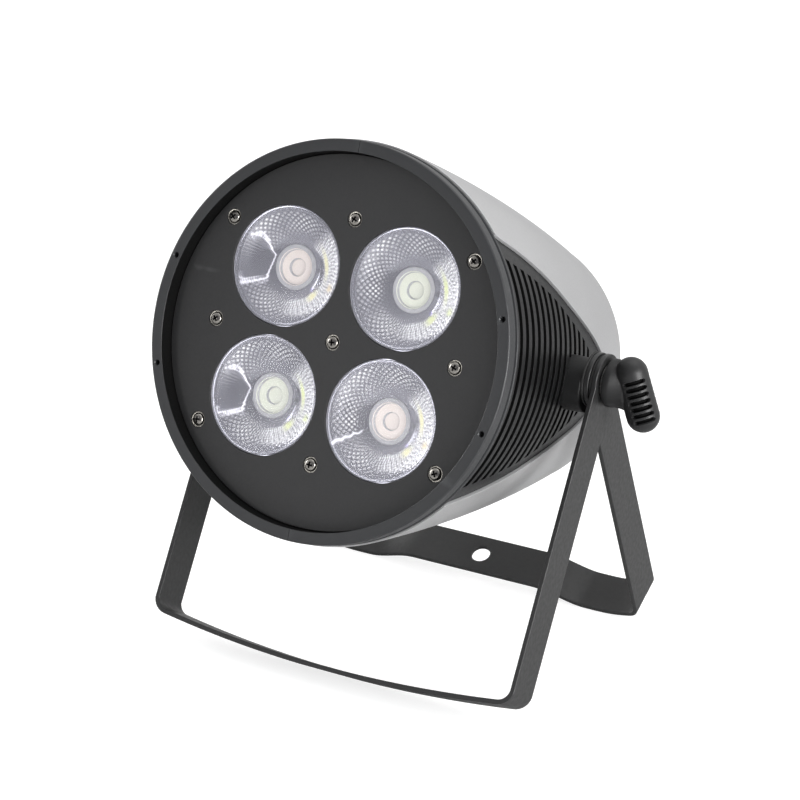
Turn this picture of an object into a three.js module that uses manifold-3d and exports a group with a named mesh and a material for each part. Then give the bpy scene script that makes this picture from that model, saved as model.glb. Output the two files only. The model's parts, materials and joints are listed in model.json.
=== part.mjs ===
// Par can light: a four-lens LED stage lantern with a round moulded housing, two silver covers,
// two steel yokes that spread into a floor stand, and a clamp lever on each side.
// Millimetres, +Z up, beam towards -Y and tilted upward, right is +X.
// Origin: middle of the bounding box in X and Y, on the floor.
// In names, R is a radius, T a thickness, W a width, H a height and L a length.
import * as THREE from "three";
import { mergeVertices } from "three/addons/utils/BufferGeometryUtils.js";
import Module from "manifold-3d";

const wasm = await Module();
wasm.setup();

const { degToRad, lerp, smoothstep } = THREE.MathUtils;

// ---------------------------------------------------------------- driving dimensions
// Head parts lie in the optic frame: +x right, +y up on the face, +z along the beam,
// z = 0 at the front of the rim. A depth is a distance behind that plane.
const PIVOT_HEIGHT = 195.76; // clamp axis above the floor
const PIVOT_Y = -1.3;
const HEAD_TILT = 17.39; // degrees the beam points above the horizon
const PIVOT_DEPTH = 127.7;
const PIVOT_OFFSET = 4.65; // clamp axis above the optical axis

const RIM_R = 120;
const RIM_BORE_R = 112.5;
const RIM_BACK = 12.6; // depth of the rear shoulder of the rim
const RIM_HOLE_X = 111.2;
const RIM_HOLE_Y = 33.25;
const PLATE_DEPTH = 10.43; // front of the face plate
const PLATE_T = 3;
const PLATE_BACK = PLATE_DEPTH + PLATE_T;
const PLATE_R = 112;
const LEDGE_DEPTH = PLATE_BACK + 0.3; // ledge behind the face plate
const HOUSING_END = 256; // depth of the rear rim

const SEAM = 0.15; // from a middle plane of the housing to the part on each side
const REACH = 140; // beyond the housing in x and y
const FAR = 300; // beyond the housing in depth

const SCREW_HOLE_R = 1.9;
const SCREW_SHANK_R = 1.6;
const FACE_RECESS = 1.3; // counterbore for a face screw
const SEAT_GAP = 0.3; // under screw heads and parts seated on the rear panel
const MIDDLE_SCREWS = {
  centre: [0, 0], right: [81.9, 0], left: [-81.9, 0], top: [0, 73.9], bottom: [0, -73.9],
};
const SCREW_PLACES = {
  ...MIDDLE_SCREWS,
  top_right: [82, 62.5], top_left: [-82, 62.5], bottom_left: [-82, -62.5], bottom_right: [82, -62.5],
};

const corners = (x, y) => ({
  top_left: [-x, y], top_right: [x, y], bottom_left: [-x, -y], bottom_right: [x, -y],
});
const LENSES = corners(40.53, 39.37);
const REAR_SCREW_SPAN = 53; // rear screws from the optical axis in x and y
const REAR_SCREWS = corners(REAR_SCREW_SPAN, REAR_SCREW_SPAN);

const PANEL_R = 80.2; // rear panel
const PANEL_IN = -251.8; // z of its inner face
const PANEL_OUT = PANEL_IN - 2.5; // z of its outer face

const STUD_BORE_R = 4.4;

// segments of the large round parts and of the side panels
const SEG_BODY = 40;
const SEG_PANEL = 32;

// ---------------------------------------------------------------- solids
// A closed geometry as a solid: only positions are kept, shared vertices merged, faces turned out.
function solid(geometry) {
  geometry.deleteAttribute("normal");
  geometry.deleteAttribute("uv");
  const merged = mergeVertices(geometry, 1e-3);
  const index = merged.index.array;
  const positions = merged.attributes.position.array;
  const corner = (vertex) => new THREE.Vector3().fromArray(positions, vertex * 3);
  const triangles = [];
  let volume = 0;
  for (let i = 0; i < index.length; i += 3) {
    const [a, b, c] = index.slice(i, i + 3);
    if (a === b || b === c || a === c) continue;
    triangles.push([a, b, c]);
    volume += corner(a).dot(corner(b).cross(corner(c)));
  }
  const outward = volume < 0 ? triangles.map(([a, b, c]) => [a, c, b]) : triangles;
  return new wasm.Manifold(new wasm.Mesh({
    numProp: 3,
    vertProperties: new Float32Array(positions),
    triVerts: new Uint32Array(outward.flat()),
  }));
}

function geometryOf(shape) {
  const { vertProperties, triVerts } = shape.getMesh();
  const geometry = new THREE.BufferGeometry();
  geometry.setAttribute("position", new THREE.BufferAttribute(vertProperties, 3));
  geometry.setIndex(new THREE.BufferAttribute(triVerts, 1));
  const flat = geometry.toNonIndexed();
  flat.computeVertexNormals();
  return flat;
}

const mirrorX = (shape) => solid(geometryOf(shape).scale(-1, 1, 1));
const union = (...shapes) => shapes.reduce((a, b) => a.add(b));
const cut = (shape, ...tools) => tools.reduce((a, b) => a.subtract(b), shape);

// [[radius, y], ...] revolved about y, closed on itself when it doesn't touch the axis
function lathe(profile, segments) {
  const points = profile.map(([r, y]) => new THREE.Vector2(r, y));
  const onAxis = profile[0][0] === 0 && profile.at(-1)[0] === 0;
  if (!onAxis) points.push(points[0].clone());
  return new THREE.LatheGeometry(points, segments);
}
// profiles of [radius, z] and of [radius, x]
const turned = (profile, segments, x = 0, y = 0) =>
  solid(lathe(profile, segments).rotateX(Math.PI / 2).translate(x, y, 0));
const turnedX = (profile, segments) => solid(lathe(profile, segments).rotateZ(-Math.PI / 2));

const rodProfile = (r, from, to) => [[0, from], [r, from], [r, to], [0, to]];
const tubeProfile = (r, bore, from, to) => [[bore, from], [r, from], [r, to], [bore, to]];
const rod = (r, z0, z1, segments, x, y) => turned(rodProfile(r, z0, z1), segments, x, y);
const rodX = (r, x0, x1, segments) => turnedX(rodProfile(r, x0, x1), segments);

function box(x0, x1, y0, y1, z0, z1) {
  const geometry = new THREE.BoxGeometry(x1 - x0, y1 - y0, z1 - z0);
  return solid(geometry.translate((x0 + x1) / 2, (y0 + y1) / 2, (z0 + z1) / 2));
}
// a box centred at x, y
const block = (w, h, z0, z1, x = 0, y = 0) =>
  box(x - w / 2, x + w / 2, y - h / 2, y + h / 2, z0, z1);

const outline = (points) => new THREE.Shape(points.map(([x, y]) => new THREE.Vector2(x, y)));
function extruded(points, depth) {
  const shape = outline([...points, points[0]]);
  return new THREE.ExtrudeGeometry(shape, { depth, bevelEnabled: false });
}
// an outline in x, z with its width centred across y
const slab = (points, width) =>
  solid(extruded(points, width).translate(0, 0, -width / 2).rotateX(Math.PI / 2));

// a rectangle with its corners cut by c, centred at x, y
function plate(w, h, c, z0, z1, x = 0, y = 0) {
  const a = w / 2;
  const b = h / 2;
  const points = [
    [-a + c, -b], [a - c, -b], [a, -b + c], [a, b - c],
    [a - c, b], [-a + c, b], [-a, b - c], [-a, -b + c],
  ];
  const placed = points.map(([px, py]) => [px + x, py + y]);
  return solid(extruded(placed, z1 - z0).translate(0, 0, z0));
}

// a pan-head screw along z with a cross recess, its head seated on z = 0
function panScrew(headR, headH, length) {
  const screw = turned([
    [0, headH], [headR * 0.62, headH - 0.2], [headR, headH * 0.3], [headR, 0],
    [SCREW_SHANK_R, 0], [SCREW_SHANK_R, -length], [0, -length],
  ], 8);
  const recessL = headR * 1.1;
  const recessW = 1;
  const recess = [headH - 1.2, headH + 1];
  return cut(screw, block(recessW, recessL, ...recess), block(recessL, recessW, ...recess));
}

// ---------------------------------------------------------------- materials
const standard = (settings) => new THREE.MeshStandardMaterial(settings);
const blackPlastic = () => standard({ color: 0x26272a, roughness: 0.62 });
const silver = () => standard({ color: 0xa9abad, roughness: 0.42, metalness: 0.55 });
const plateBlack = () => standard({ color: 0x2b2b2c, roughness: 0.55, metalness: 0.1 });
const steelBlack = () => standard({ color: 0x2a2a2b, roughness: 0.58, metalness: 0.2 });
const nickel = () => standard({ color: 0x8b8579, roughness: 0.3, metalness: 1 });
const clear = () => standard({ color: 0xd8dae6, roughness: 0.08, transparent: true, opacity: 0.4 });
const aluminium = () => standard({ color: 0xb4b6b8, roughness: 0.4, metalness: 0.9 });
const rubber = () => standard({ color: 0x161616, roughness: 0.9 });
const boardGreen = () => standard({ color: 0x1d5a34, roughness: 0.6 });
const phosphor = () => standard({ color: 0xe9dfc4, roughness: 0.5 });

// ---------------------------------------------------------------- scene graph
function addGroup(parent) {
  const group = new THREE.Group();
  parent.add(group);
  return group;
}

function addMesh(parent, name, shape, material, x = 0, y = 0, z = 0) {
  const mesh = new THREE.Mesh(geometryOf(shape), material);
  mesh.name = name;
  mesh.position.set(x, y, z);
  parent.add(mesh);
  return mesh;
}

const light = new THREE.Group();
const pivot = addGroup(light);
pivot.position.set(0, PIVOT_Y, PIVOT_HEIGHT);
const head = addGroup(pivot);
head.rotation.x = degToRad(90 - HEAD_TILT);
const optic = addGroup(head); // middle of the front of the rim, on the optical axis
optic.position.set(0, -PIVOT_OFFSET, PIVOT_DEPTH);

const rearYoke = addGroup(pivot);
const frontYoke = addGroup(pivot);
const clamps = addGroup(pivot);

// ---------------------------------------------------------------- side frames and covers
const coverR = (depth) => 122.2 - 0.0758 * depth - 0.0002755 * depth * depth;

// leaf-shaped side panel: [depth, half height]
const LEAF = [
  [-6, 84], [8, 80.8], [20, 77.6], [40, 73.2], [60, 68], [80, 62], [100, 54.8], [120, 47],
  [140, 39.6], [160, 32.4], [180, 24.2], [200, 14.6], [214, 8.2], [222, 4.2], [226, 0],
];
const LEAF_TIP_FROM = 190; // beyond this depth, growing the leaf also moves points back
const LEAF_INNER_X = 40;

// cooling slots, one pitch apart in depth: half length of each
const SLOT_HALF_L = [
  71, 68, 65.3, 62, 58.7, 55.5, 52, 48.4, 44.3, 40, 35.8, 31.4, 26.8, 21.6, 16.4, 11,
];
const FIRST_SLOT_DEPTH = 20;
const SLOT_PITCH = 10.8;
const SLOT_W = 4.2;

// a shell that follows the cover curve, between two insets from it
function sideBand(outerInset, innerInset) {
  const depths = [RIM_BACK, 70, 125, 180, 228];
  const line = (inset) => depths.map((depth) => [coverR(depth) - inset, -depth]);
  return turned([...line(outerInset), ...line(innerInset).reverse()], SEG_PANEL);
}

// the leaf outline, grown, as a prism between two places in x
function leafPrism(grow, x0, x1) {
  const upper = LEAF.map(([depth, half]) => [
    depth > LEAF_TIP_FROM ? depth + grow : depth,
    half + grow,
  ]);
  const lower = upper.filter(([, half]) => half > 0).reverse().map(([depth, half]) => [depth, -half]);
  const geometry = extruded([...upper, ...lower], x1 - x0);
  return solid(geometry.translate(0, 0, x0).rotateY(Math.PI / 2));
}

function rimRing() {
  const skirtR = 114.4;
  const skirtBack = 20;
  const ledgeBack = LEDGE_DEPTH + 2.8;
  const ledgeR = 98;
  return turned([
    [RIM_BORE_R, 0], [RIM_R - 0.8, 0], [RIM_R, -0.8], [RIM_R, -8.6],
    [RIM_R - 1.5, -9.2], [RIM_R - 1.5, -10.7], [RIM_R + 0.2, -11.3], [RIM_R + 0.2, -RIM_BACK],
    [118.2, -RIM_BACK], [117.6, -skirtBack], [skirtR, -skirtBack], [skirtR, -ledgeBack],
    [ledgeR, -ledgeBack], [ledgeR, -LEDGE_DEPTH], [RIM_BORE_R, -LEDGE_DEPTH],
  ], SEG_BODY);
}

function rightSideFrame() {
  const rightHalf = box(SEAM, REACH, -REACH, REACH, -FAR, 5);
  const panel = sideBand(2, 5).intersect(leafPrism(0, LEAF_INNER_X, REACH));
  const lip = sideBand(3.1, 5).intersect(leafPrism(5, LEAF_INNER_X, REACH));
  const shell = union(rimRing().intersect(rightHalf), panel, lip);

  const slots = SLOT_HALF_L.map((half, i) => {
    const z = -(FIRST_SLOT_DEPTH + i * SLOT_PITCH);
    return box(60, REACH, -half, half, z - SLOT_W / 2, z + SLOT_W / 2);
  });
  // boss level with the optical axis, bored on the clamp axis
  const boss = rodX(17, 98, 118.8, 20).translate([0, 0, -PIVOT_DEPTH]);
  const bore = rodX(STUD_BORE_R, 90, 125, 20).translate([0, PIVOT_OFFSET, -PIVOT_DEPTH]);
  const rimHoles = [RIM_HOLE_Y, -RIM_HOLE_Y].map((y) => rod(1.5, -5, 2, 12, RIM_HOLE_X, y));
  const screwHoles = [SCREW_PLACES.top_right, SCREW_PLACES.bottom_right]
    .map(([x, y]) => rod(SCREW_HOLE_R, -30, -12, 10, x, y));
  return cut(cut(shell, ...slots).add(boss), bore, ...rimHoles, ...screwHoles);
}

// upper cover for side = 1, lower cover for side = -1
function cover(side) {
  const wall = 2.2;
  const depths = [12.9, 70, 125, 180];
  const backR = coverR(250);
  const seatR = PANEL_R + 0.4; // recess for the rear panel
  const seatZ = PANEL_IN + 0.3;
  const seatBoreR = 71.5;
  const whole = turned([
    ...[...depths, 248].map((depth) => [coverR(depth), -depth]),
    [backR - 1.2, -253.6], [backR - 4, -HOUSING_END], [seatR, -HOUSING_END],
    [seatR, seatZ], [seatBoreR, seatZ], [seatBoreR, -249], [coverR(245) - wall, -245],
    ...depths.slice().reverse().map((depth) => [coverR(depth) - wall, -depth]),
  ], SEG_BODY);
  const [low, high] = side > 0 ? [SEAM, REACH] : [-REACH, -SEAM];
  const leafGap = 0.35;
  return cut(
    whole.intersect(box(-REACH, REACH, low, high, -FAR, 0)),
    leafPrism(leafGap, LEAF_INNER_X, REACH),
    leafPrism(leafGap, -REACH, -LEAF_INNER_X),
    ...[-REAR_SCREW_SPAN, REAR_SCREW_SPAN]
      .map((x) => rod(SCREW_HOLE_R, -HOUSING_END, -240, 10, x, side * REAR_SCREW_SPAN)),
  );
}

const rightFrame = rightSideFrame();
addMesh(optic, "right_side_frame", rightFrame, blackPlastic());
addMesh(optic, "left_side_frame", mirrorX(rightFrame), blackPlastic());
addMesh(optic, "top_cover", cover(1), silver());
addMesh(optic, "bottom_cover", cover(-1), silver());

// ---------------------------------------------------------------- face plate and its screws
function facePlate() {
  const openings = Object.values(LENSES).map(([x, y]) => rod(36.6, -20, 0, 24, x, y));
  const screwHoles = Object.values(SCREW_PLACES).flatMap(([x, y]) => [
    rod(4.8, -PLATE_DEPTH - FACE_RECESS, 0, 10, x, y),
    rod(SCREW_HOLE_R, -20, 0, 8, x, y),
  ]);
  return cut(rod(PLATE_R, -PLATE_DEPTH, -PLATE_BACK, SEG_BODY), ...openings, ...screwHoles);
}
addMesh(optic, "face_plate", facePlate(), plateBlack());

const faceScrew = panScrew(3.65, 2.1, 7.5);
const faceScrewZ = -PLATE_DEPTH - FACE_RECESS + SEAT_GAP;
for (const [where, [x, y]] of Object.entries(SCREW_PLACES))
  addMesh(optic, "face_screw_" + where, faceScrew, nickel(), x, y, faceScrewZ);

// ---------------------------------------------------------------- optics
// a flanged body with a hollow in its front, tapering to the back
function lens() {
  const frontZ = -PLATE_DEPTH - 0.7;
  const bodyR = 36.2;
  const flangeR = 38.2;
  const flangeBack = -LEDGE_DEPTH - 2;
  return turned([
    [0, -24.5], [11, -24.5], [13.4, frontZ], [bodyR, frontZ],
    [bodyR, -LEDGE_DEPTH], [flangeR, -LEDGE_DEPTH], [flangeR, flangeBack], [35.8, flangeBack],
    [25, -34], [14.5, -45], [0, -45],
  ], 18);
}

function lensHolder() {
  const frontZ = -LEDGE_DEPTH - 2.3;
  return turned([
    [38.9, frontZ], [28.5, -37], [17, -48.6], [14, -48.6],
    [14, -46.4], [26.9, -34.6], [37.6, frontZ],
  ], 18);
}

// a square base with a round emitter in front
const ledChip = () => union(block(24, 24, -50.4, -48.9), rod(9, -49, -48.2, 12));

const OPTICS = [
  ["lens", lens(), clear],
  ["lens_holder", lensHolder(), blackPlastic],
  ["led_chip", ledChip(), phosphor],
];
for (const [where, [x, y]] of Object.entries(LENSES))
  for (const [kind, shape, material] of OPTICS)
    addMesh(optic, kind + "_" + where, shape, material(), x, y);

// ---------------------------------------------------------------- cooling
// a round base with upright fins behind and posts that reach towards the face plate
function heatSink() {
  const finReach = 88;
  const finPitch = 10;
  let sink = rod(92, -50.7, -57, 28);
  for (let i = -8; i <= 8; i++) {
    const x = i * finPitch;
    sink = sink.add(block(2, 2 * Math.sqrt(finReach ** 2 - x ** 2), -150, -56, x));
  }
  for (const [x, y] of Object.values(MIDDLE_SCREWS)) {
    sink = sink.add(rod(4, -51, -PLATE_BACK - 0.6, 12, x, y));
    sink = sink.subtract(rod(SCREW_HOLE_R, -24, 0, 10, x, y));
  }
  return sink;
}
addMesh(optic, "heat_sink", heatSink(), aluminium());

const FAN_FRONT = -154;
const FAN_BACK = FAN_FRONT - 25;

// a square frame with a cross, a round hub and an axle
function fanFrame() {
  const bars = [FAN_BACK, FAN_BACK + 2.5];
  const frame = union(
    block(92, 92, FAN_BACK, FAN_FRONT).subtract(rod(43.6, FAN_FRONT - 40, FAN_FRONT + 5, 24)),
    rod(19, ...bars, 20),
    block(90, 4, ...bars),
    block(4, 90, ...bars),
    rod(2, FAN_BACK + 1, FAN_FRONT - 8, 10),
  );
  const holes = Object.values(corners(41, 41))
    .map(([x, y]) => rod(2.2, FAN_BACK - 5, FAN_FRONT + 5, 8, x, y));
  return cut(frame, ...holes);
}

function fanRotor() {
  const hubR = 19;
  const hubBack = FAN_FRONT - 21.5;
  const boreR = 2.7;
  const boreEnd = FAN_FRONT - 6.5;
  const hub = turned([
    [0, FAN_FRONT - 3], [17.5, FAN_FRONT - 3], [hubR, FAN_FRONT - 4.5], [hubR, hubBack],
    [boreR, hubBack], [boreR, boreEnd], [0, boreEnd],
  ], 16);
  const bladeCount = 7;
  const bladeL = 24.5;
  const bladeRoot = 17; // inner end, from the axis
  const blades = Array.from({ length: bladeCount }, (_, i) => solid(
    new THREE.BoxGeometry(bladeL, 2, 19)
      .rotateX(degToRad(38))
      .translate(bladeRoot + bladeL / 2, 0, FAN_FRONT - 12.5)
      .rotateZ((i * 2 * Math.PI) / bladeCount),
  ));
  return union(hub, ...blades);
}
addMesh(optic, "fan_frame", fanFrame(), blackPlastic());
addMesh(optic, "fan_rotor", fanRotor(), blackPlastic());

// ---------------------------------------------------------------- power supply and board
// a box with a row of grooves in its top
function powerSupply() {
  const groovePitch = 11;
  let supply = block(116, 56, -224, -190);
  for (let i = -4; i <= 4; i++)
    supply = supply.subtract(block(4, 10, -218, -196, i * groovePitch, 25));
  return supply;
}
addMesh(optic, "power_supply", powerSupply(), aluminium());

// the board, a block on its rear and two on its front: [x0, x1, y0, y1, z0, z1]
const BOARD_PARTS = [
  [-42, 42, 4, 52, -239.6, -238],
  [-27, 27, 27, 47, -243.5, -239.5],
  [-36, -20, 34, 44, -238.2, -233],
  [10, 26, 10, 22, -238.2, -235],
];
addMesh(optic, "control_board", union(...BOARD_PARTS.map((sides) => box(...sides))), boardGreen());

// ---------------------------------------------------------------- rear panel and its fittings
const THROUGH = [-FAR, -200]; // z range of a cutter that passes through the panel
const DISPLAY_Y = 38;
const BUTTONS = { menu: -27, down: -9, up: 9, enter: 27 }; // x of each
const BUTTON_Y = 14;
const PORT_X = 24;
const SIGNAL_Y = -14;
const MAINS_Y = -46;
const EYE_Y = 64;
const FLANGE = [PANEL_OUT - 2.3, PANEL_OUT - SEAT_GAP]; // z range of the port flanges
const PORT_MOUTH = PANEL_OUT - 5; // port cutters start clear behind the flange

function rearPanel() {
  return cut(
    rod(PANEL_R, PANEL_IN, PANEL_OUT, SEG_BODY),
    plate(52.6, 20.6, 1.5, ...THROUGH, 0, DISPLAY_Y),
    ...Object.values(BUTTONS).map((x) => rod(4.4, ...THROUGH, 12, x, BUTTON_Y)),
    ...[-PORT_X, PORT_X].flatMap((x) => [
      rod(12.1, ...THROUGH, 20, x, SIGNAL_Y),
      plate(28.6, 20.6, 2, ...THROUGH, x, MAINS_Y),
    ]),
    ...Object.values(REAR_SCREWS).map(([x, y]) => rod(SCREW_HOLE_R, ...THROUGH, 10, x, y)),
    rod(3.3, ...THROUGH, 14, 0, EYE_Y),
  );
}

// a pane through the panel with a flange inside
const displayWindow = () => union(
  plate(52, 20, 1.3, PANEL_OUT - 0.4, PANEL_IN + 1, 0, DISPLAY_Y),
  plate(58, 24, 1.3, PANEL_IN + 0.3, PANEL_IN + 1.8, 0, DISPLAY_Y),
);

// a cap through the panel, a flange inside and a stem towards the board
function button() {
  const capR = 3.9;
  const flangeR = 5.2;
  const stemR = 1.6;
  const stemEnd = -241.2;
  return turned([
    [0, PANEL_OUT - 1.8], [3.2, PANEL_OUT - 1.8], [capR, PANEL_OUT - 1.2], [capR, PANEL_IN + 1.4],
    [flangeR, PANEL_IN + 1.4], [flangeR, PANEL_IN + 2.6], [stemR, PANEL_IN + 2.6],
    [stemR, stemEnd], [0, stemEnd],
  ], 12);
}

// round three-pole signal socket, with pins in an open barrel or with holes in a core
function signalSocket(pins) {
  const boreR = 9.6;
  const poles = [[-4.2, 3], [4.2, 3], [0, -4.6]];
  const body = union(plate(26, 31, 3, ...FLANGE), rod(11.6, PANEL_OUT - 1, -233, 16));
  if (pins) {
    const open = body.subtract(rod(boreR, PORT_MOUTH, -236, 20));
    return union(open, ...poles.map(([x, y]) => rod(1.2, -247, -235, 8, x, y)));
  }
  const moat = turned(tubeProfile(boreR, 7.9, PORT_MOUTH, -240), 20);
  return cut(body, moat, ...poles.map(([x, y]) => rod(1.4, PORT_MOUTH, -243, 8, x, y)));
}

// three-pole mains port, with blades in an open well or with slots
function mainsPort(pins) {
  const poles = [[-7, -2], [7, -2], [0, 2.5]];
  const body = union(plate(32, 24.5, 3, ...FLANGE), plate(28, 20, 2, PANEL_OUT - 1, -232));
  if (pins) {
    const open = body.subtract(plate(24, 16, 3, PORT_MOUTH, -235));
    return union(open, ...poles.map(([x, y]) => block(2, 4, -249, -234, x, y)));
  }
  return cut(body, ...poles.map(([x, y]) => block(2.4, 4.6, PORT_MOUTH, -238, x, y)));
}

// ring for the safety cable: a bent rod with a collar and a threaded tail
function safetyEye() {
  const ringR = 9;
  const wireR = 2.1;
  const circle = (count, r) => Array.from({ length: count }, (_, i) => {
    const angle = (i * 2 * Math.PI) / count;
    return [r * Math.cos(angle), r * Math.sin(angle)];
  });
  const bends = circle(12, ringR).map(([x, z]) => new THREE.Vector3(x, 0, z));
  const section = circle(6, wireR);
  const ring = new THREE.ExtrudeGeometry(outline([...section, section[0]]), {
    steps: 18,
    extrudePath: new THREE.CatmullRomCurve3(bends, true),
    bevelEnabled: false,
  });
  return union(
    solid(ring.translate(0, 0, PANEL_OUT - SEAT_GAP - 2.6 - 10.2)),
    rod(5.6, PANEL_OUT - 3.6, PANEL_OUT - SEAT_GAP, 16),
    rod(2.9, PANEL_OUT - 1, -240, 12),
  );
}

addMesh(optic, "rear_panel", rearPanel(), plateBlack());
addMesh(optic, "display_window", displayWindow(), clear());
for (const [where, x] of Object.entries(BUTTONS))
  addMesh(optic, "button_" + where, button(), rubber(), x, BUTTON_Y);

addMesh(optic, "dmx_in_socket", signalSocket(true), blackPlastic(), -PORT_X, SIGNAL_Y);
addMesh(optic, "dmx_out_socket", signalSocket(false), blackPlastic(), PORT_X, SIGNAL_Y);
addMesh(optic, "power_inlet", mainsPort(true), blackPlastic(), -PORT_X, MAINS_Y);
addMesh(optic, "power_outlet", mainsPort(false), blackPlastic(), PORT_X, MAINS_Y);

const rearScrew = panScrew(3.4, 2, 6.5);
for (const [where, [x, y]] of Object.entries(REAR_SCREWS)) {
  const screw = addMesh(
    optic, "rear_screw_" + where, rearScrew, nickel(), x, y, PANEL_OUT - SEAT_GAP,
  );
  screw.rotation.y = Math.PI;
}
addMesh(optic, "safety_eye", safetyEye(), nickel(), 0, EYE_Y);

// ---------------------------------------------------------------- yokes
// Each yoke hangs from the clamp axis; a drop is a distance below it along the yoke.
const STRIP_W = 30;
const STRIP_T = 3;
const FRONT = { lean: 28.52, x: 129.05, drop: 214.64, bow: 9.53, flat: 15, bendR: 11 };
const REAR = {
  lean: 29.16, x: 123.79, drop: 215.8, bendR: 8.5,
  stepDrop: 206.9, stepFrom: 46, stepTo: 83, // raised middle and its sloping sides
  curveFrom: 93, curve: 0.0063, // rise towards the bends
};

// half the outer outline, from the eye to the middle: [x, drop, normal in x, normal in drop]
function yokeHalf({ x: eyeX, bendR }, dropAt, stations) {
  const normalAt = (x) => {
    const slope = dropAt(x + 0.5) - dropAt(x - 0.5);
    const length = Math.hypot(1, slope);
    return [-slope / length, 1 / length];
  };
  // settle on the place where the bend runs smoothly into the crossbar
  const centreX = eyeX - bendR;
  let meetX = centreX;
  for (let i = 0; i < 20; i++) meetX = centreX + normalAt(meetX)[0] * bendR;
  const centreDrop = dropAt(meetX) - normalAt(meetX)[1] * bendR;
  const endAngle = Math.atan2(dropAt(meetX) - centreDrop, meetX - centreX);

  const points = [[eyeX, 0, 1, 0]];
  for (let i = 0; i <= 4; i++) {
    const cos = Math.cos((endAngle * i) / 4);
    const sin = Math.sin((endAngle * i) / 4);
    points.push([centreX + bendR * cos, centreDrop + bendR * sin, cos, sin]);
  }
  for (const x of stations) points.push([x, dropAt(x), ...normalAt(x)]);
  return points;
}

function yoke(size, dropAt, stations) {
  const half = yokeHalf(size, dropAt, stations);
  const otherHalf = half.filter(([x]) => x > 0.01).reverse()
    .map(([x, drop, nx, nd]) => [-x, drop, -nx, nd]);
  const all = [...half, ...otherHalf];
  const outer = all.map(([x, drop]) => [x, -drop]);
  const inner = all.map(([x, drop, nx, nd]) => [x - nx * STRIP_T, -(drop - nd * STRIP_T)]);
  const eyeR = 17;
  const solidYoke = union(
    slab([...outer, ...inner.reverse()], STRIP_W),
    rodX(eyeR, size.x - STRIP_T, size.x, 20),
    rodX(eyeR, -size.x, -size.x + STRIP_T, 20),
  );
  return solidYoke.subtract(rodX(4.7, -150, 150, 12));
}

const frontDrop = (x) =>
  FRONT.drop - (FRONT.bow * (Math.max(Math.abs(x), FRONT.flat) ** 2 - FRONT.flat ** 2)) / FRONT.x ** 2;

function rearDrop(x) {
  const reach = Math.abs(x);
  const step = smoothstep(reach, REAR.stepFrom, REAR.stepTo);
  const rise = REAR.curve * Math.max(reach - REAR.curveFrom, 0) ** 2;
  return lerp(REAR.stepDrop, REAR.drop, step) - rise;
}

frontYoke.rotation.x = degToRad(-FRONT.lean);
const frontStrip = yoke(FRONT, frontDrop, [90, 60, 35, FRONT.flat, 0]);
addMesh(frontYoke, "front_yoke", frontStrip, steelBlack());

// the rear crossbar has a hole in its middle
rearYoke.rotation.x = degToRad(REAR.lean);
const rearStrip = yoke(
  REAR, rearDrop, [108, REAR.curveFrom, REAR.stepTo, 76, 69, 62, 55, REAR.stepFrom, 0],
);
addMesh(rearYoke, "rear_yoke", rearStrip.subtract(rod(6.5, -240, -180, 24)), steelBlack());

// ---------------------------------------------------------------- clamps, built on the right
const washer = (r, x0, x1) => turnedX(tubeProfile(r, STUD_BORE_R, x0, x1), 16);
const clampNut = () => rodX(8, 91.4, 97.7, 6).subtract(rodX(STUD_BORE_R, 90, 99, 12));

function clampStud() {
  const r = 4;
  const chamfer = 0.8;
  return turnedX([[0, 90], [r - chamfer, 90], [r, 90 + chamfer], [r, 143], [0, 143]], 12);
}

// a hub, a web and a capsule grip that leans outward, with grooves on two sides
function clampLever() {
  const gripR = 10.3;
  const gripL = 27; // between the centres of its round ends
  const lean = degToRad(21);
  const place = (geometry) => geometry.rotateY(-lean).translate(144.5, 0, 8.3);
  const quarter = (from, z) => Array.from({ length: 5 }, (_, i) => {
    const angle = from + (i * Math.PI) / 8;
    return [gripR * Math.cos(angle), z + gripR * Math.sin(angle)];
  });
  const capsule = [...quarter(-Math.PI / 2, -gripL), ...quarter(0, 0)];
  capsule[0][0] = 0; // both ends exactly on the axis
  capsule.at(-1)[0] = 0;

  const body = union(
    turnedX([[0, 131.1], [15, 131.1], [15, 134.6], [10, 143.5], [0, 143.5]], 16),
    slab([[132.5, -12.4], [144, 12], [150, 0], [150.5, -14.5]], 13),
    solid(place(lathe(capsule, 14).rotateX(Math.PI / 2))),
  );
  const grooves = [];
  for (let i = 0; i < 7; i++)
    for (const angle of [62, -62]) {
      const groove = new THREE.BoxGeometry(4, 14, 1.5).translate(gripR + 0.7, 0, -4.6 - i * 4.1);
      grooves.push(solid(place(groove.rotateZ(degToRad(angle)))));
    }
  return cut(body, rodX(4.3, 120, 143.5, 12), ...grooves);
}

const CLAMP_PARTS = [
  ["clamp_lever", clampLever(), blackPlastic],
  ["clamp_stud", clampStud(), nickel],
  ["clamp_nut", clampNut(), nickel],
  ["inner_washer", washer(16, 119.15, 120.45), rubber],
  ["middle_washer", washer(16, 124.1, 125.75), rubber],
  ["outer_washer", washer(12, 129.35, 130.75), nickel],
];
for (const [side, turn] of [["right", 0], ["left", Math.PI]])
  for (const [name, shape, material] of CLAMP_PARTS)
    addMesh(clamps, side + "_" + name, shape, material()).rotation.z = turn;

export default light;
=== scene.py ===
# A stage light: a round head with four LED lenses, hung between two yokes by clamp levers.
# World: metres, +z up, the beam towards -y. The head tilts about the x axis through PIVOT.
# Head pieces are drawn in millimetres in the OPTIC frame: x to the right, y up the face,
# z along the beam, with the origin at the centre of the rim's front edge.
import json
import math

import bmesh
import bpy
import numpy as np
from mathutils import Matrix, Vector, geometry


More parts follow.
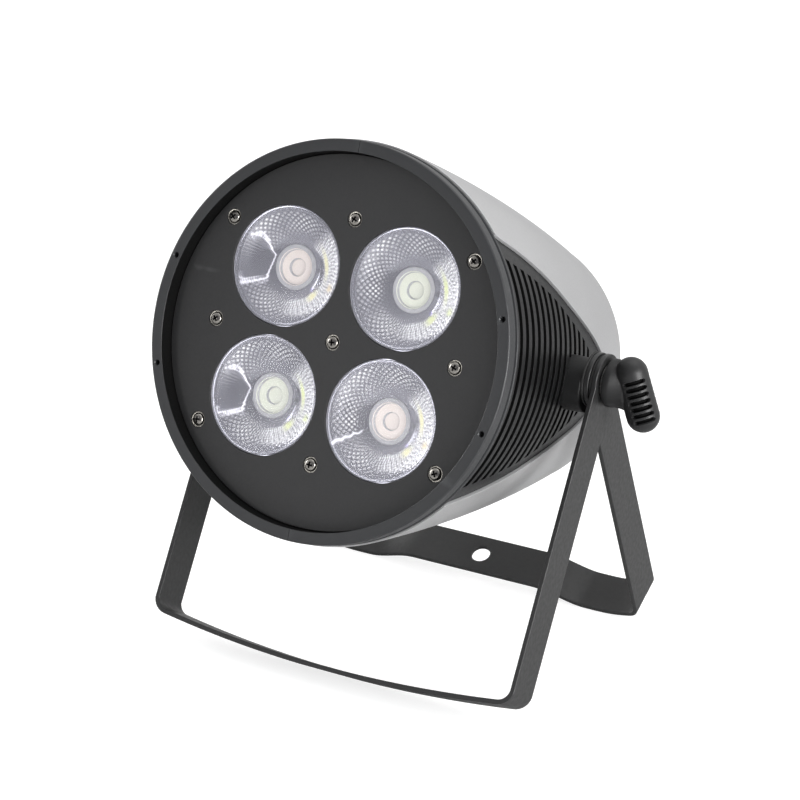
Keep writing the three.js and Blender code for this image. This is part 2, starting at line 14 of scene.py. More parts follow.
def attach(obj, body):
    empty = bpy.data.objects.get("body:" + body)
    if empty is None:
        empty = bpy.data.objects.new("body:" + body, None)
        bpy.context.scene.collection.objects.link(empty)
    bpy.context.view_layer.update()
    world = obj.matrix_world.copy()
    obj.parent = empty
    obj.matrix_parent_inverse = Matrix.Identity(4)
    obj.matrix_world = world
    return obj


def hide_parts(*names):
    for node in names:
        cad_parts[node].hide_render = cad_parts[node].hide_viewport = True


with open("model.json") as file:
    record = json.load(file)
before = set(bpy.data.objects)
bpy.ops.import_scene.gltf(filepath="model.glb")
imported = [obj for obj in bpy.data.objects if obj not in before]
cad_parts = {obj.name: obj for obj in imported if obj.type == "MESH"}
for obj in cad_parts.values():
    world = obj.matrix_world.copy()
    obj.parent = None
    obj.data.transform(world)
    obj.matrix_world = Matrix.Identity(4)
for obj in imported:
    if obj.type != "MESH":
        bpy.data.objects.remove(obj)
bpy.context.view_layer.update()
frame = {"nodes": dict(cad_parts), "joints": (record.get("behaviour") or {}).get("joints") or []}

PI = math.pi
rad = math.radians
JOINTS = {joint["name"]: joint for joint in frame["joints"]}
PIVOT = Vector(JOINTS["head_tilt"]["pos_m"])
BEAM = Vector(JOINTS["fan_spin"]["axis"]).normalized()

# ------------------------------------------------------------------ driving sizes, mm
RIM_AHEAD = 127.7  # from the pivot forward to the rim's front edge
PIVOT_RISE = 4.65  # from the optic axis up to the pivot
PLATE_Z = -10.43  # front of the face plate
PLATE_R = 112
INNER = -251.8  # inner face of the rear panel
BACK = INNER - 2.5  # its outer face
PANEL_R = 80.2

# centres on the face plate
SCREW_X, SCREW_Y = 82, 62.5
SCREWS = {
    "centre": (0, 0), "right": (81.9, 0), "left": (-81.9, 0), "top": (0, 73.9),
    "bottom": (0, -73.9), "top_right": (SCREW_X, SCREW_Y), "top_left": (-SCREW_X, SCREW_Y),
    "bottom_left": (-SCREW_X, -SCREW_Y), "bottom_right": (SCREW_X, -SCREW_Y)}
LENS_X, LENS_Y = 40.53, 39.37
LENSES = {"top_left": (-LENS_X, LENS_Y), "top_right": (LENS_X, LENS_Y),
          "bottom_left": (-LENS_X, -LENS_Y), "bottom_right": (LENS_X, -LENS_Y)}
WARM_LENSES = ("top_left", "bottom_right")

# side panel outline: depth behind the rim's front edge, half height; a round tip follows
LEAF = [(-6, 84), (8, 80.8), (20, 77.6), (40, 73.2), (60, 68), (80, 62), (100, 54.8),
        (120, 47), (140, 39.6), (160, 32.4), (180, 24.2), (200, 14.6), (214, 8.2)]
LEAF_END = 226
# half heights of the side panel's slots, from front to back
SLOT_HEIGHTS = [71, 68, 65.3, 62, 58.7, 55.5, 52, 48.4, 44.3, 40, 35.8, 31.4, 26.8, 21.6, 16.4, 11]
SLOT_START, SLOT_PITCH, SLOT_HALF = 20, 10.8, 2.7
SLOTS = [(SLOT_START + SLOT_PITCH * i, height) for i, height in enumerate(SLOT_HEIGHTS)]


def cover_radius(depth):
    return 122.2 - 0.0758 * depth - 0.0002755 * depth * depth


class Spline:
    """Natural cubic spline through points."""

    def __init__(self, points):
        x, y = np.array(points, float).T
        count = len(x)
        system = np.zeros((count, count))
        target = np.zeros(count)
        system[0, 0] = system[-1, -1] = 1
        for i in range(1, count - 1):
            before, after = x[i] - x[i - 1], x[i + 1] - x[i]
            system[i, i - 1:i + 2] = before, 2 * (before + after), after
            target[i] = 6 * ((y[i + 1] - y[i]) / after - (y[i] - y[i - 1]) / before)
        self.x, self.y = x, y
        self.bends = np.linalg.solve(system, target)

    def __call__(self, place):
        x, y, bends = self.x, self.y, self.bends
        i = np.clip(np.searchsorted(x, place) - 1, 0, len(x) - 2)
        gap = x[i + 1] - x[i]
        u, v = (x[i + 1] - place) / gap, (place - x[i]) / gap
        curve = (u ** 3 - u) * bends[i] + (v ** 3 - v) * bends[i + 1]
        return u * y[i] + v * y[i + 1] + gap * gap / 6 * curve


leaf_side = Spline(LEAF)
slot_end = Spline([(0, 76)] + SLOTS + [(200, 2)])


def leaf(depth):
    """Half height of the side panel."""
    tip_depth, tip_height = LEAF[-1]
    if depth < tip_depth:
        return leaf_side(depth)
    return math.sqrt(max(0, (LEAF_END - depth) / (LEAF_END - tip_depth))) * tip_height


# ------------------------------------------------------------------ frames of reference
MM = Matrix.Scale(0.001, 4)


def axes(x_axis, y_axis, z_axis, origin):
    turn = Matrix((x_axis, y_axis, z_axis)).transposed().to_4x4()
    return Matrix.Translation(origin) @ turn


def at_pivot(degrees, axis):
    return Matrix.Translation(PIVOT) @ Matrix.Rotation(rad(degrees), 4, axis) @ MM


HEAD = axes(Vector((1, 0, 0)), Vector((0, BEAM.z, -BEAM.y)), BEAM, PIVOT) @ MM
OPTIC = HEAD @ Matrix.Translation((0, -PIVOT_RISE, RIM_AHEAD))

# ------------------------------------------------------------------ materials
MATERIALS = {}


class Shader:
    """A material around one Principled shader. Lengths are in metres."""

    def __init__(self, name):
        self.material = MATERIALS[name] = bpy.data.materials.new(name)
        self.material.use_nodes = True
        self.tree = self.material.node_tree
        self.tree.nodes.clear()
        output = self.node("ShaderNodeOutputMaterial")
        self.principled = self.node("ShaderNodeBsdfPrincipled")
        self.tree.links.new(self.principled.outputs[0], output.inputs[0])
        self.coords = self.node("ShaderNodeTexCoord").outputs["Object"]
        self.normal = None

    def feed(self, node, inputs):
        """Links a node's inputs to outputs, or sets them to numbers or colours."""
        for key, value in inputs.items():
            if isinstance(value, bpy.types.NodeSocket):
                self.tree.links.new(value, node.inputs[key])
            else:
                colour = isinstance(value, tuple)
                node.inputs[key].default_value = (*value, 1) if colour else value

    def node(self, kind, inputs=None, **settings):
        node = self.tree.nodes.new(kind)
        for key, value in settings.items():
            setattr(node, key, value)
        self.feed(node, inputs or {})
        return node

    def noise(self, scale, detail=3, rough=0.5):
        inputs = {"Scale": scale, "Detail": detail, "Roughness": rough, "Vector": self.coords}
        return self.node("ShaderNodeTexNoise", inputs).outputs["Fac"]

    def span(self, value, to=(0, 1), over=(0.3, 0.7)):
        """Maps the range `over` to the range `to`."""
        inputs = {"From Min": over[0], "From Max": over[1],
                  "To Min": to[0], "To Max": to[1], "Value": value}
        return self.node("ShaderNodeMapRange", inputs).outputs[0]

    def add(self, a, b):
        return self.node("ShaderNodeMath", {0: a, 1: b}, operation="ADD").outputs[0]

    def multiply(self, a, b):
        return self.node("ShaderNodeMath", {0: a, 1: b}, operation="MULTIPLY").outputs[0]

    def mix(self, factor, a, b):
        node = self.node("ShaderNodeMix", data_type="RGBA")
        self.feed(node, {0: factor, 6: a, 7: b})
        return node.outputs[2]

    def edges(self, over):
        """1 on outside edges, 0 elsewhere."""
        return self.span(self.node("ShaderNodeNewGeometry").outputs["Pointiness"], over=over)

    def bump(self, height, distance, strength):
        """Adds a bump layer over those already there."""
        inputs = {"Distance": distance, "Strength": strength, "Height": height}
        if self.normal:
            inputs["Normal"] = self.normal
        self.normal = self.node("ShaderNodeBump", inputs).outputs[0]

    def finish(self, **inputs):
        if self.normal:
            inputs["Normal"] = self.normal
        self.feed(self.principled, {key.replace("_", " "): inputs[key] for key in inputs})


def shade(colour, factor, lift=0):
    return tuple(channel * factor + lift for channel in colour)


def moulded(name, base, rough, grain=900, depth=0.00006, edge_paling=0.25, specular=0.5):
    """Moulded plastic with a fine grain and paler edges, partly wear and partly a painted
    highlight.
    """
    s = Shader(name)
    cloud = s.noise(scale=9)
    fine = s.noise(scale=grain, detail=2, rough=0.6)
    # paler edges: wear, and a painted highlight along the edges
    edge_mask = s.multiply(s.edges(over=(0.52, 0.62)),
                      s.span(s.noise(scale=60, detail=4), to=(0.2, 1), over=(0.35, 0.65)))
    colour = s.mix(s.span(cloud), shade(base, 0.86), shade(base, 1.14))
    colour = s.mix(s.multiply(edge_mask, edge_paling), colour, shade(base, 2.6, lift=0.03))
    s.bump(fine, distance=depth, strength=0.55)
    s.bump(s.noise(scale=35, detail=2), distance=0.00012, strength=0.15)
    s.finish(Base_Color=colour,
             Roughness=s.add(s.span(fine, to=(rough - 0.05, rough + 0.06)),
                             s.span(cloud, to=(-0.03, 0.04))),
             Specular_IOR_Level=specular)


def powder(name, base, rough, peel, depth, edge_paling, metallic=0.0):
    """Powder coat with an orange-peel surface and grey worn edges."""
    s = Shader(name)
    cloud = s.noise(scale=7, detail=4)
    orange = s.noise(scale=peel, detail=2, rough=0.45)
    fine = s.noise(scale=peel * 5, detail=1)
    colour = s.mix(s.span(cloud), shade(base, 0.88), shade(base, 1.12))
    edge_mask = s.multiply(s.edges(over=(0.53, 0.66)),
                      s.span(s.noise(scale=90, detail=4), over=(0.42, 0.62)))
    colour = s.mix(s.multiply(edge_mask, edge_paling), colour, (0.30, 0.30, 0.31))
    s.bump(orange, distance=depth, strength=0.45)
    s.bump(fine, distance=0.00003, strength=0.4)
    s.finish(Base_Color=colour,
             Roughness=s.add(s.span(orange, to=(rough - 0.06, rough + 0.06)),
                             s.span(cloud, to=(-0.03, 0.04))),
             Metallic=metallic)


def silver_paint(name, base, rough, metallic):
    """Metallic paint: flakes differ in brightness and gloss; edges wear dark."""
    s = Shader(name)
    flake = s.node("ShaderNodeTexVoronoi", {"Scale": 2600, "Vector": s.coords})
    flakes = s.node("ShaderNodeSeparateColor", {0: flake.outputs["Color"]})
    cloud = s.noise(scale=6, detail=4)
    colour = s.mix(s.span(cloud), shade(base, 0.95), shade(base, 1.05))
    colour = s.mix(s.span(flakes.outputs[0], to=(0, 0.22), over=(0, 1)), colour,
                   shade(base, 1.35))
    edge_mask = s.multiply(s.edges(over=(0.53, 0.64)),
                      s.span(s.noise(scale=120, detail=4), to=(0, 0.5), over=(0.42, 0.62)))
    colour = s.mix(edge_mask, colour, (0.20, 0.20, 0.205))
    s.bump(s.noise(scale=1400, detail=2), distance=0.00003, strength=0.35)
    s.bump(s.noise(scale=18, detail=2), distance=0.0003, strength=0.12)
    s.finish(Base_Color=colour, Metallic=metallic,
             Roughness=s.add(
                 s.span(flakes.outputs[1], to=(rough - 0.05, rough + 0.06), over=(0, 1)),
                 s.span(cloud, to=(-0.03, 0.03))))


def metal(name, base, rough, scale):
    s = Shader(name)
    fine = s.noise(scale=scale, detail=4, rough=0.6)
    cloud = s.noise(scale=scale * 0.12)
    colour = s.mix(s.span(cloud), shade(base, 0.8), base)
    s.bump(fine, distance=0.00004, strength=0.35)
    s.finish(Base_Color=colour, Metallic=1.0,
             Roughness=s.span(fine, to=(rough - 0.07, rough + 0.1)))


def rubber(name, base, rough, scale):
    s = Shader(name)
    fine = s.noise(scale=scale)
    colour = s.mix(s.span(s.noise(scale=40)), shade(base, 0.8), shade(base, 1.25))
    s.bump(fine, distance=0.00005, strength=0.5)
    s.finish(Base_Color=colour, Roughness=s.span(fine, to=(rough - 0.08, rough + 0.08)))


def circuit_board():
    s = Shader("circuit_board")
    tracks = s.node("ShaderNodeTexBrick", {
        "Scale": 160, "Color1": (0.01, 0.09, 0.035), "Color2": (0.015, 0.12, 0.05),
        "Mortar": (0.05, 0.22, 0.10), "Vector": s.coords})
    s.bump(tracks.outputs["Fac"], distance=0.00005, strength=0.4)
    s.finish(Base_Color=tracks.outputs["Color"],
             Roughness=s.span(s.noise(scale=200), to=(0.3, 0.45)))


def phosphor(name, base, cloudy, glow):
    """A matt surface with a faint painted glow; `cloudy` is the colour of its paler patches."""
    s = Shader(name)
    speck = s.noise(scale=2600)
    cloud = s.noise(scale=220, detail=2)
    colour = s.mix(s.span(speck), shade(base, 0.9), base)
    colour = s.mix(s.span(cloud, to=(0, 0.35)), colour, cloudy)
    s.bump(speck, distance=0.00004, strength=0.5)
    s.finish(Base_Color=colour, Roughness=s.span(cloud, to=(0.28, 0.42)),
             Emission_Color=base, Emission_Strength=glow)


def lens_facets():
    """Mirror-like back of a lens. Its point colours carry painted highlights, reflections and
    shade; their alpha turns the dish matt and glowing there, a painted light.
    """
    s = Shader("lens_facets")
    colour_and_painted_light = s.node("ShaderNodeVertexColor", layer_name="colour_and_painted_light").outputs
    cloud = s.noise(scale=70)
    colour = s.mix(s.span(cloud, to=(0, 0.3)), colour_and_painted_light["Color"], (0.34, 0.34, 0.38))
    s.bump(s.noise(scale=1500, detail=1), distance=0.00002, strength=0.15)
    # painted light: where the point colours' alpha is high, the dish turns matt and glows
    s.finish(Base_Color=colour,
             Metallic=s.span(colour_and_painted_light["Alpha"], to=(0.9, 0.1), over=(0, 1)),
             Roughness=s.add(s.span(s.noise(scale=300, detail=2), to=(0.07, 0.15)),
                             s.multiply(colour_and_painted_light["Alpha"], 0.25)),
             Emission_Color=colour_and_painted_light["Color"],
             Emission_Strength=s.multiply(colour_and_painted_light["Alpha"], 0.27))


def lens_clear():
    """The lens front, clear face on and more opaque at a slant."""
    s = Shader("lens_clear")
    slant = s.node("ShaderNodeLayerWeight", {"Blend": 0.25}).outputs["Fresnel"]
    s.bump(s.noise(scale=40, detail=1), distance=0.0002, strength=0.08)
    s.finish(Base_Color=(0.80, 0.80, 0.88),
             Roughness=s.span(s.noise(scale=500, detail=2), to=(0.03, 0.07)),
             Alpha=s.span(slant, to=(0.07, 0.36), over=(0, 0.8)), Specular_IOR_Level=0.6)


def display_clear():
    s = Shader("display_clear")
    s.bump(s.noise(scale=60, detail=1), distance=0.0001, strength=0.05)
    s.finish(Base_Color=s.mix(s.span(s.noise(scale=300)), (0.010, 0.011, 0.013),
                              (0.016, 0.018, 0.020)),
             Roughness=s.span(s.noise(scale=700), to=(0.05, 0.12)), Coat_Weight=0.4)


def display_digits():
    red = (0.95, 0.16, 0.06)
    s = Shader("display_digits")
    colour = s.mix(s.span(s.noise(scale=900)), shade(red, 0.85), red)
    s.finish(Base_Color=colour, Emission_Color=colour, Emission_Strength=1.6,
             Roughness=s.span(s.noise(scale=600), to=(0.3, 0.5)))


moulded("housing_black", base=(0.0185, 0.0193, 0.0208), rough=0.41, grain=800, depth=0.00007,
        edge_paling=0.35)
# the side panel's strongly paler edges are mostly a painted highlight on its ribs
moulded("side_panel_black", base=(0.0055, 0.0057, 0.006), rough=0.38, grain=800,
        depth=0.00007, edge_paling=0.8, specular=0.22)
moulded("boss_black", base=(0.008, 0.008, 0.0083), rough=0.5, depth=0.00007, edge_paling=0.2,
        specular=0.3)
powder("face_plate_black", base=(0.0175, 0.0175, 0.018), rough=0.46, peel=700, depth=0.00006,
       edge_paling=0.25)
silver_paint("cover_silver", base=(0.42, 0.42, 0.425), rough=0.36, metallic=0.62)
powder("yoke_black", base=(0.0138, 0.0138, 0.014), rough=0.44, peel=380, depth=0.0001,
       edge_paling=0.35)
moulded("lever_black", base=(0.014, 0.014, 0.0144), rough=0.42, grain=1100, edge_paling=0.35,
        specular=0.36)
# painted shade: near black for the grip's grooves
moulded("groove_painted_shade", base=(0.002, 0.002, 0.002), rough=0.8, grain=1100, edge_paling=0.0,
        specular=0.1)
metal("screw_nickel", base=(0.42, 0.40, 0.36), rough=0.26, scale=900)
metal("screw_head", base=(0.42, 0.40, 0.37), rough=0.24, scale=900)
# painted shade: near black for the rim's bore and groove, the slots' inner walls and the screws'
# recesses
moulded("painted_shade_black", base=(0.002, 0.002, 0.002), rough=0.6, depth=0.00004, edge_paling=0.0,
        specular=0.15)
metal("zinc_steel", base=(0.55, 0.55, 0.53), rough=0.3, scale=420)
rubber("washer_rubber", base=(0.018, 0.018, 0.018), rough=0.78, scale=1200)
rubber("button_rubber", base=(0.055, 0.055, 0.058), rough=0.62, scale=900)
moulded("holder_black", base=(0.006, 0.006, 0.0065), rough=0.6, depth=0.00005, edge_paling=0.0)
powder("heat_sink_anodised", base=(0.006, 0.006, 0.0065), rough=0.42, peel=500,
       depth=0.00005, edge_paling=0.2, metallic=0.3)
metal("supply_case", base=(0.50, 0.51, 0.52), rough=0.35, scale=260)
circuit_board()
moulded("socket_black", base=(0.010, 0.010, 0.011), rough=0.45, grain=1000, depth=0.00005,
        edge_paling=0.15)
# the LED cores and lens wells get a faint painted glow
phosphor("led_warm", base=(0.83, 0.74, 0.68), cloudy=(0.87, 0.80, 0.76), glow=0.14)
phosphor("led_cool", base=(0.76, 0.79, 0.65), cloudy=(0.83, 0.85, 0.76), glow=0.14)
phosphor("lens_well", base=(0.40, 0.40, 0.42), cloudy=(0.62, 0.62, 0.64), glow=0.04)
lens_facets()
lens_clear()
display_clear()
display_digits()


# ------------------------------------------------------------------ surfaces
class Surface:
    """Points in millimetres, and faces, of one or several closed surfaces."""

    def __init__(self, points=np.zeros((0, 3)), faces=()):
        self.points = np.asarray(points, float)
        self.faces = [tuple(map(int, face)) for face in faces]

    def __add__(self, other):
        start = len(self.points)
        faces = self.faces + [tuple(i + start for i in face) for face in other.faces]
        return Surface(np.vstack([self.points, other.points]), faces)

    def at(self, matrix):
        matrix = np.array(matrix)
        turn = matrix[:3, :3]
        mirrored = np.linalg.det(turn) <= 0
        faces = [face[::-1] for face in self.faces] if mirrored else self.faces
        return Surface(self.points @ turn.T + matrix[:3, 3], faces)

    def shift(self, x, y, z):
        return self.at(Matrix.Translation((x, y, z)))

    def along_x(self):
        """Turns what was drawn along z to lie along x."""
        return Surface(self.points[:, [2, 0, 1]], self.faces)


def join(parts):
    return sum(parts, Surface())


def add_face(faces, corners):
    """Adds a face without repeated corners, unless it has collapsed."""
    corners = [corner for i, corner in enumerate(corners) if corner != corners[i - 1]]
    if len(corners) >= 3:
        faces.append(corners)


def revolve(profile, count=96, start=0.0, end=2 * PI):
    """Turns [(radius, z)] about z: a closed loop, or an open line from axis to axis."""
    size = len(profile)
    to_axis = profile[0][0] < 1e-9 and profile[-1][0] < 1e-9
    full = abs(end - start - 2 * PI) < 1e-9
    columns = count if full else count + 1
    angles = start + (end - start) * np.arange(columns) / count
    points, grid = [], np.zeros((columns, size), int)
    for k, (radius, z) in enumerate(profile):
        if to_axis and k in (0, size - 1):
            grid[:, k] = len(points)
            points.append((0, 0, z))
        else:
            grid[:, k] = len(points) + np.arange(columns)
            points += [(radius * math.cos(angle), radius * math.sin(angle), z)
                       for angle in angles]
    faces = []
    for j in range(count):
        here, there = grid[j], grid[(j + 1) % columns]
        for k in range(size - 1 if to_axis else size):
            above = (k + 1) % size
            add_face(faces, [here[k], there[k], there[above], here[above]])
    if not full:
        faces.append(grid[0])
        faces.append(grid[-1][::-1])
    return Surface(points, faces)


def lathe_x(profile, count=64):
    """Turns [(radius, x)] about x."""
    return revolve(profile, count).along_x()


def rounded(corners, steps=4):
    """Rounds the corners of a closed outline [(x, y, radius)]."""
    outline = []
    for i, (x, y, radius) in enumerate(corners):
        corner = np.array((x, y), float)
        if radius <= 0:
            outline.append((x, y))
            continue
        before = np.array(corners[i - 1][:2], float) - corner
        after = np.array(corners[(i + 1) % len(corners)][:2], float) - corner
        len_before, len_after = np.linalg.norm(before), np.linalg.norm(after)
        before, after = before / len_before, after / len_after
        half = math.acos(np.clip(before @ after, -1, 1)) / 2
        reach = min(radius / math.tan(half), len_before * 0.49, len_after * 0.49)
        radius = reach * math.tan(half)
        middle = (before + after) / np.linalg.norm(before + after)
        centre = corner + middle * (radius / math.sin(half))
        first, last = corner + before * reach - centre, corner + after * reach - centre
        start = math.atan2(first[1], first[0])
        sweep = (math.atan2(last[1], last[0]) - start + PI) % (2 * PI) - PI
        for k in range(steps + 1):
            angle = start + sweep * k / steps
            outline.append((centre[0] + radius * math.cos(angle),
                            centre[1] + radius * math.sin(angle)))
    return outline


def circle(x, y, radius, count=48):
    angles = [2 * PI * i / count for i in range(count)]
    return [(x + radius * math.cos(a), y + radius * math.sin(a)) for a in angles]


def rect(x, y, width, height, radius, steps=5):
    left, right = x - width / 2, x + width / 2
    low, high = y - height / 2, y + height / 2
    return rounded([(left, low, radius), (right, low, radius), (right, high, radius),
                    (left, high, radius)], steps)


def slab(loops, low, high, bevel=0.0, low_bevel=0.0, steps=3):
    """A flat piece between two z levels: an outline, then its holes, with rounded edges."""
    quarter = [PI / 2 * k / steps for k in range(steps + 1)]
    profile = [(-low_bevel * (1 - math.sin(a)), low + low_bevel * (1 - math.cos(a)))
               for a in quarter]
    profile += [(-bevel * (1 - math.cos(a)), high - bevel * (1 - math.sin(a)))
                for a in quarter]
    points, faces, caps = [], [], [[], []]
    for index, loop in enumerate(loops):
        ring = np.array(loop, float)
        x, y = ring.T
        anticlockwise = np.sum(x * np.roll(y, -1) - np.roll(x, -1) * y) > 0
        if anticlockwise != (index == 0):
            ring = ring[::-1]
        step = np.roll(ring, -1, 0) - ring
        step /= np.linalg.norm(step, axis=1)[:, None]
        outward = np.c_[step[:, 1], -step[:, 0]]  # away from the material
        mitre = outward + np.roll(outward, 1, 0)
        mitre /= np.maximum(np.sum(mitre * outward, 1), 0.2)[:, None]
        count, base = len(ring), len(points)
        for offset, z in profile:
            points += [(x, y, z) for x, y in ring + mitre * offset]
        for k in range(len(profile) - 1):
            row = base + k * count
            for i in range(count):
                after = (i + 1) % count
                faces.append((row + i, row + after, row + count + after, row + count + i))
        caps[0].append(range(base, base + count))
        caps[1].append(range(len(points) - count, len(points)))
    for upper, cap in enumerate(caps):
        flat = [i for ring in cap for i in ring]
        polygons = [[Vector((*points[i][:2], 0)) for i in ring] for ring in cap]
        for triangle in geometry.tessellate_polygon(polygons):
            corners = [flat[i] for i in triangle]
            a, b, c = (points[i] for i in corners)
            turns_left = (b[0] - a[0]) * (c[1] - a[1]) - (b[1] - a[1]) * (c[0] - a[0]) > 0
            faces.append(corners if turns_left == (upper == 1) else corners[::-1])
    return Surface(points, faces)


def thick(outer, inner, solid=None):
    """A closed sheet between two point grids [j, k, xyz]. solid[j, k] False leaves a hole."""
    rows, columns = outer.shape[0] - 1, outer.shape[1] - 1
    if solid is None:
        solid = np.ones((rows, columns), bool)
    used = np.zeros((rows + 1, columns + 1), bool)
    for dj in (0, 1):
        for dk in (0, 1):
            used[dj:rows + dj, dk:columns + dk] |= solid
    count = used.sum()
    index = np.zeros(used.shape, int)
    index[used] = np.arange(count)

    def is_solid(j, k):
        return 0 <= j < rows and 0 <= k < columns and solid[j, k]

    faces = []
    for j, k in np.argwhere(solid):
        a, b, c, d = index[j, k], index[j + 1, k], index[j + 1, k + 1], index[j, k + 1]
        faces.append((a, b, c, d))
        faces.append((d + count, c + count, b + count, a + count))
        sides = ((j - 1, k, d, a), (j + 1, k, b, c), (j, k - 1, a, b), (j, k + 1, c, d))
        for next_j, next_k, start, end in sides:
            if not is_solid(next_j, next_k):
                faces.append((end, start, start + count, end + count))
    return Surface(np.vstack([outer[used], inner[used]]), faces)


def to_bmesh(surface):
    bm = bmesh.new()
    verts = [bm.verts.new(point) for point in surface.points]
    for face in surface.faces:
        try:
            bm.faces.new([verts[i] for i in face])
        except ValueError:
            pass  # the face is there already, or uses a corner twice
    return bm


def to_mesh(name, bm):
    """Turns the faces outward and stores the mesh."""
    bmesh.ops.recalc_face_normals(bm, faces=bm.faces)
    mesh = bpy.data.meshes.new(name)
    bm.to_mesh(mesh)
    bm.free()
    return mesh


def add_object(name, data):
    obj = bpy.data.objects.new(name, data)
    bpy.context.scene.collection.objects.link(obj)
    return obj


def slice_x(surface, places):
    """Adds edges where planes across x cut the surface, so that it can be bent."""
    bm = to_bmesh(surface)
    for x in places:
        bmesh.ops.bisect_plane(bm, geom=bm.verts[:] + bm.edges[:] + bm.faces[:], dist=1e-5,
                               plane_co=(x, 0, 0), plane_no=(1, 0, 0))
    bmesh.ops.triangulate(bm, faces=[face for face in bm.faces if len(face.verts) > 4])
    bm.verts.index_update()
    sliced = Surface([vert.co[:] for vert in bm.verts],
                     [[vert.index for vert in face.verts] for face in bm.faces])
    bm.free()
    return sliced


def boolean(first, second, operation="DIFFERENCE"):
    objects = []
    for surface in (first, second):
        bm = to_bmesh(surface)
        bmesh.ops.remove_doubles(bm, verts=bm.verts, dist=0.0005)
        objects.append(add_object("tmp", to_mesh("tmp", bm)))
    cut = objects[0].modifiers.new("b", "BOOLEAN")
    cut.operation = operation
    cut.object = objects[1]
    cut.solver = "EXACT"
    graph = bpy.context.evaluated_depsgraph_get()
    mesh = bpy.data.meshes.new_from_object(objects[0].evaluated_get(graph))
    result = Surface([vert.co[:] for vert in mesh.vertices],
                     [poly.vertices for poly in mesh.polygons])
    for obj in objects:
        bpy.data.objects.remove(obj)
    bpy.data.meshes.remove(mesh)
    return result


def piece(name, surface, material, replaces=None, place=OPTIC, body="head", smooth=32,
          bevel=0.0, bevel_angle=50, weighted=True, pick=None, colour_and_painted_light=None):
    """Makes an object that rides on a body.

    material: a name, or a list of which pick(face centre) gives the index.
    smooth: edges sharper than this many degrees stay sharp.
    colour_and_painted_light: gives the colours of the points, painted light included. Both
    functions work in the piece's own frame.
    """
    local = place.inverted()
    bm = to_bmesh(surface.at(place))
    bmesh.ops.remove_doubles(bm, verts=bm.verts, dist=0.0005 * 0.001)
    bmesh.ops.dissolve_degenerate(bm, edges=bm.edges, dist=1e-7)
    loose = [vert for vert in bm.verts if not vert.link_faces]
    bmesh.ops.delete(bm, geom=loose, context="VERTS")
    mesh = to_mesh(name, bm)
    names = [material] if isinstance(material, str) else material
    for key in names:
        mesh.materials.append(MATERIALS[key])
    mesh.shade_smooth()
    mesh.set_sharp_from_angle(angle=rad(smooth))
    if pick:
        for poly in mesh.polygons:
            poly.material_index = pick(local @ poly.center)
    if colour_and_painted_light:
        layer = mesh.color_attributes.new("colour_and_painted_light", "FLOAT_COLOR", "POINT")
        colours = colour_and_painted_light(np.array([(local @ vert.co)[:] for vert in mesh.vertices]))
        layer.data.foreach_set("color", colours.ravel())
    obj = add_object(name, mesh)
    if bevel:
        edge = obj.modifiers.new("edge", "BEVEL")
        edge.width = bevel * 0.001
        edge.segments = 3
        edge.limit_method = "ANGLE"
        edge.angle_limit = rad(bevel_angle)
    if weighted:
        normals = obj.modifiers.new("normals", "WEIGHTED_NORMAL")
        normals.keep_sharp = not bevel
        normals.weight = 50
    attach(obj, body)
    if replaces:
        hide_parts(replaces)


# ------------------------------------------------------------------ covers
def cover_shell(sign):
    """Half shell from rim to rear panel, cut away around the side panels."""
    wall, corner_r, corner_depth = 2.1, 6.2, 249.8
    corner_x = cover_radius(249.5) - corner_r
    inner_r = corner_r - 2.2
    outer = [(cover_radius(depth), depth) for depth in np.linspace(12.9, 247.5, 60)]
    inner = [(radius - wall, depth) for radius, depth in outer]
    for k in range(1, 9):
        cos, sin = math.cos(PI / 2 * k / 8), math.sin(PI / 2 * k / 8)
        outer.append((corner_x + corner_r * cos, corner_depth + corner_r * sin))
        inner.append((corner_x - 0.2 + inner_r * cos, corner_depth + inner_r * sin))
    outer.append((PANEL_R + 0.9, 256.0))
    inner.append((PANEL_R + 0.9, 253.6))
    count = 110
    shells = np.zeros((2, count + 1, len(outer), 3))
    for k, pair in enumerate(zip(outer, inner)):
        radius, depth = pair[0]
        gap = leaf(depth) + 0.35 if depth < LEAF_END else 0.2
        seam = math.asin(min(0.99, gap / radius))
        angles = seam + (PI - 2 * seam) * np.arange(count + 1) / count
        for shell, (radius, depth) in zip(shells, pair):
            shell[:, k, 0] = radius * np.cos(angles)
            shell[:, k, 1] = sign * radius * np.sin(angles)
            shell[:, k, 2] = -depth
    return thick(*shells)


# half of the turned-in rim that the rear panel sits in
COVER_SEAT = revolve(rounded([
    (PANEL_R + 0.5, -256, 0.5), (PANEL_R + 0.5, -252.1, 0), (71.5, -252.1, 0),
    (71.5, -249, 0), (83.4, -249, 0), (83.4, -255.2, 0)], 3), 96, 0.002, PI - 0.002)
for side, sign in (("top", 1), ("bottom", -1)):
    piece(side + "_cover_shell", cover_shell(sign), "cover_silver", side + "_cover",
          bevel=0.35, bevel_angle=55)
    piece(side + "_cover_shell_seat", COVER_SEAT.at(Matrix.Diagonal((1, sign, 1, 1))),
          "cover_silver")


# ------------------------------------------------------------------ side frames
def under_cover(inset, heights, depth):
    """A row of points at one depth, `inset` inside the cover's surface."""
    radius = cover_radius(depth) - inset
    return np.c_[np.sqrt(radius * radius - heights * heights), heights,
                 np.full(len(heights), -depth)]


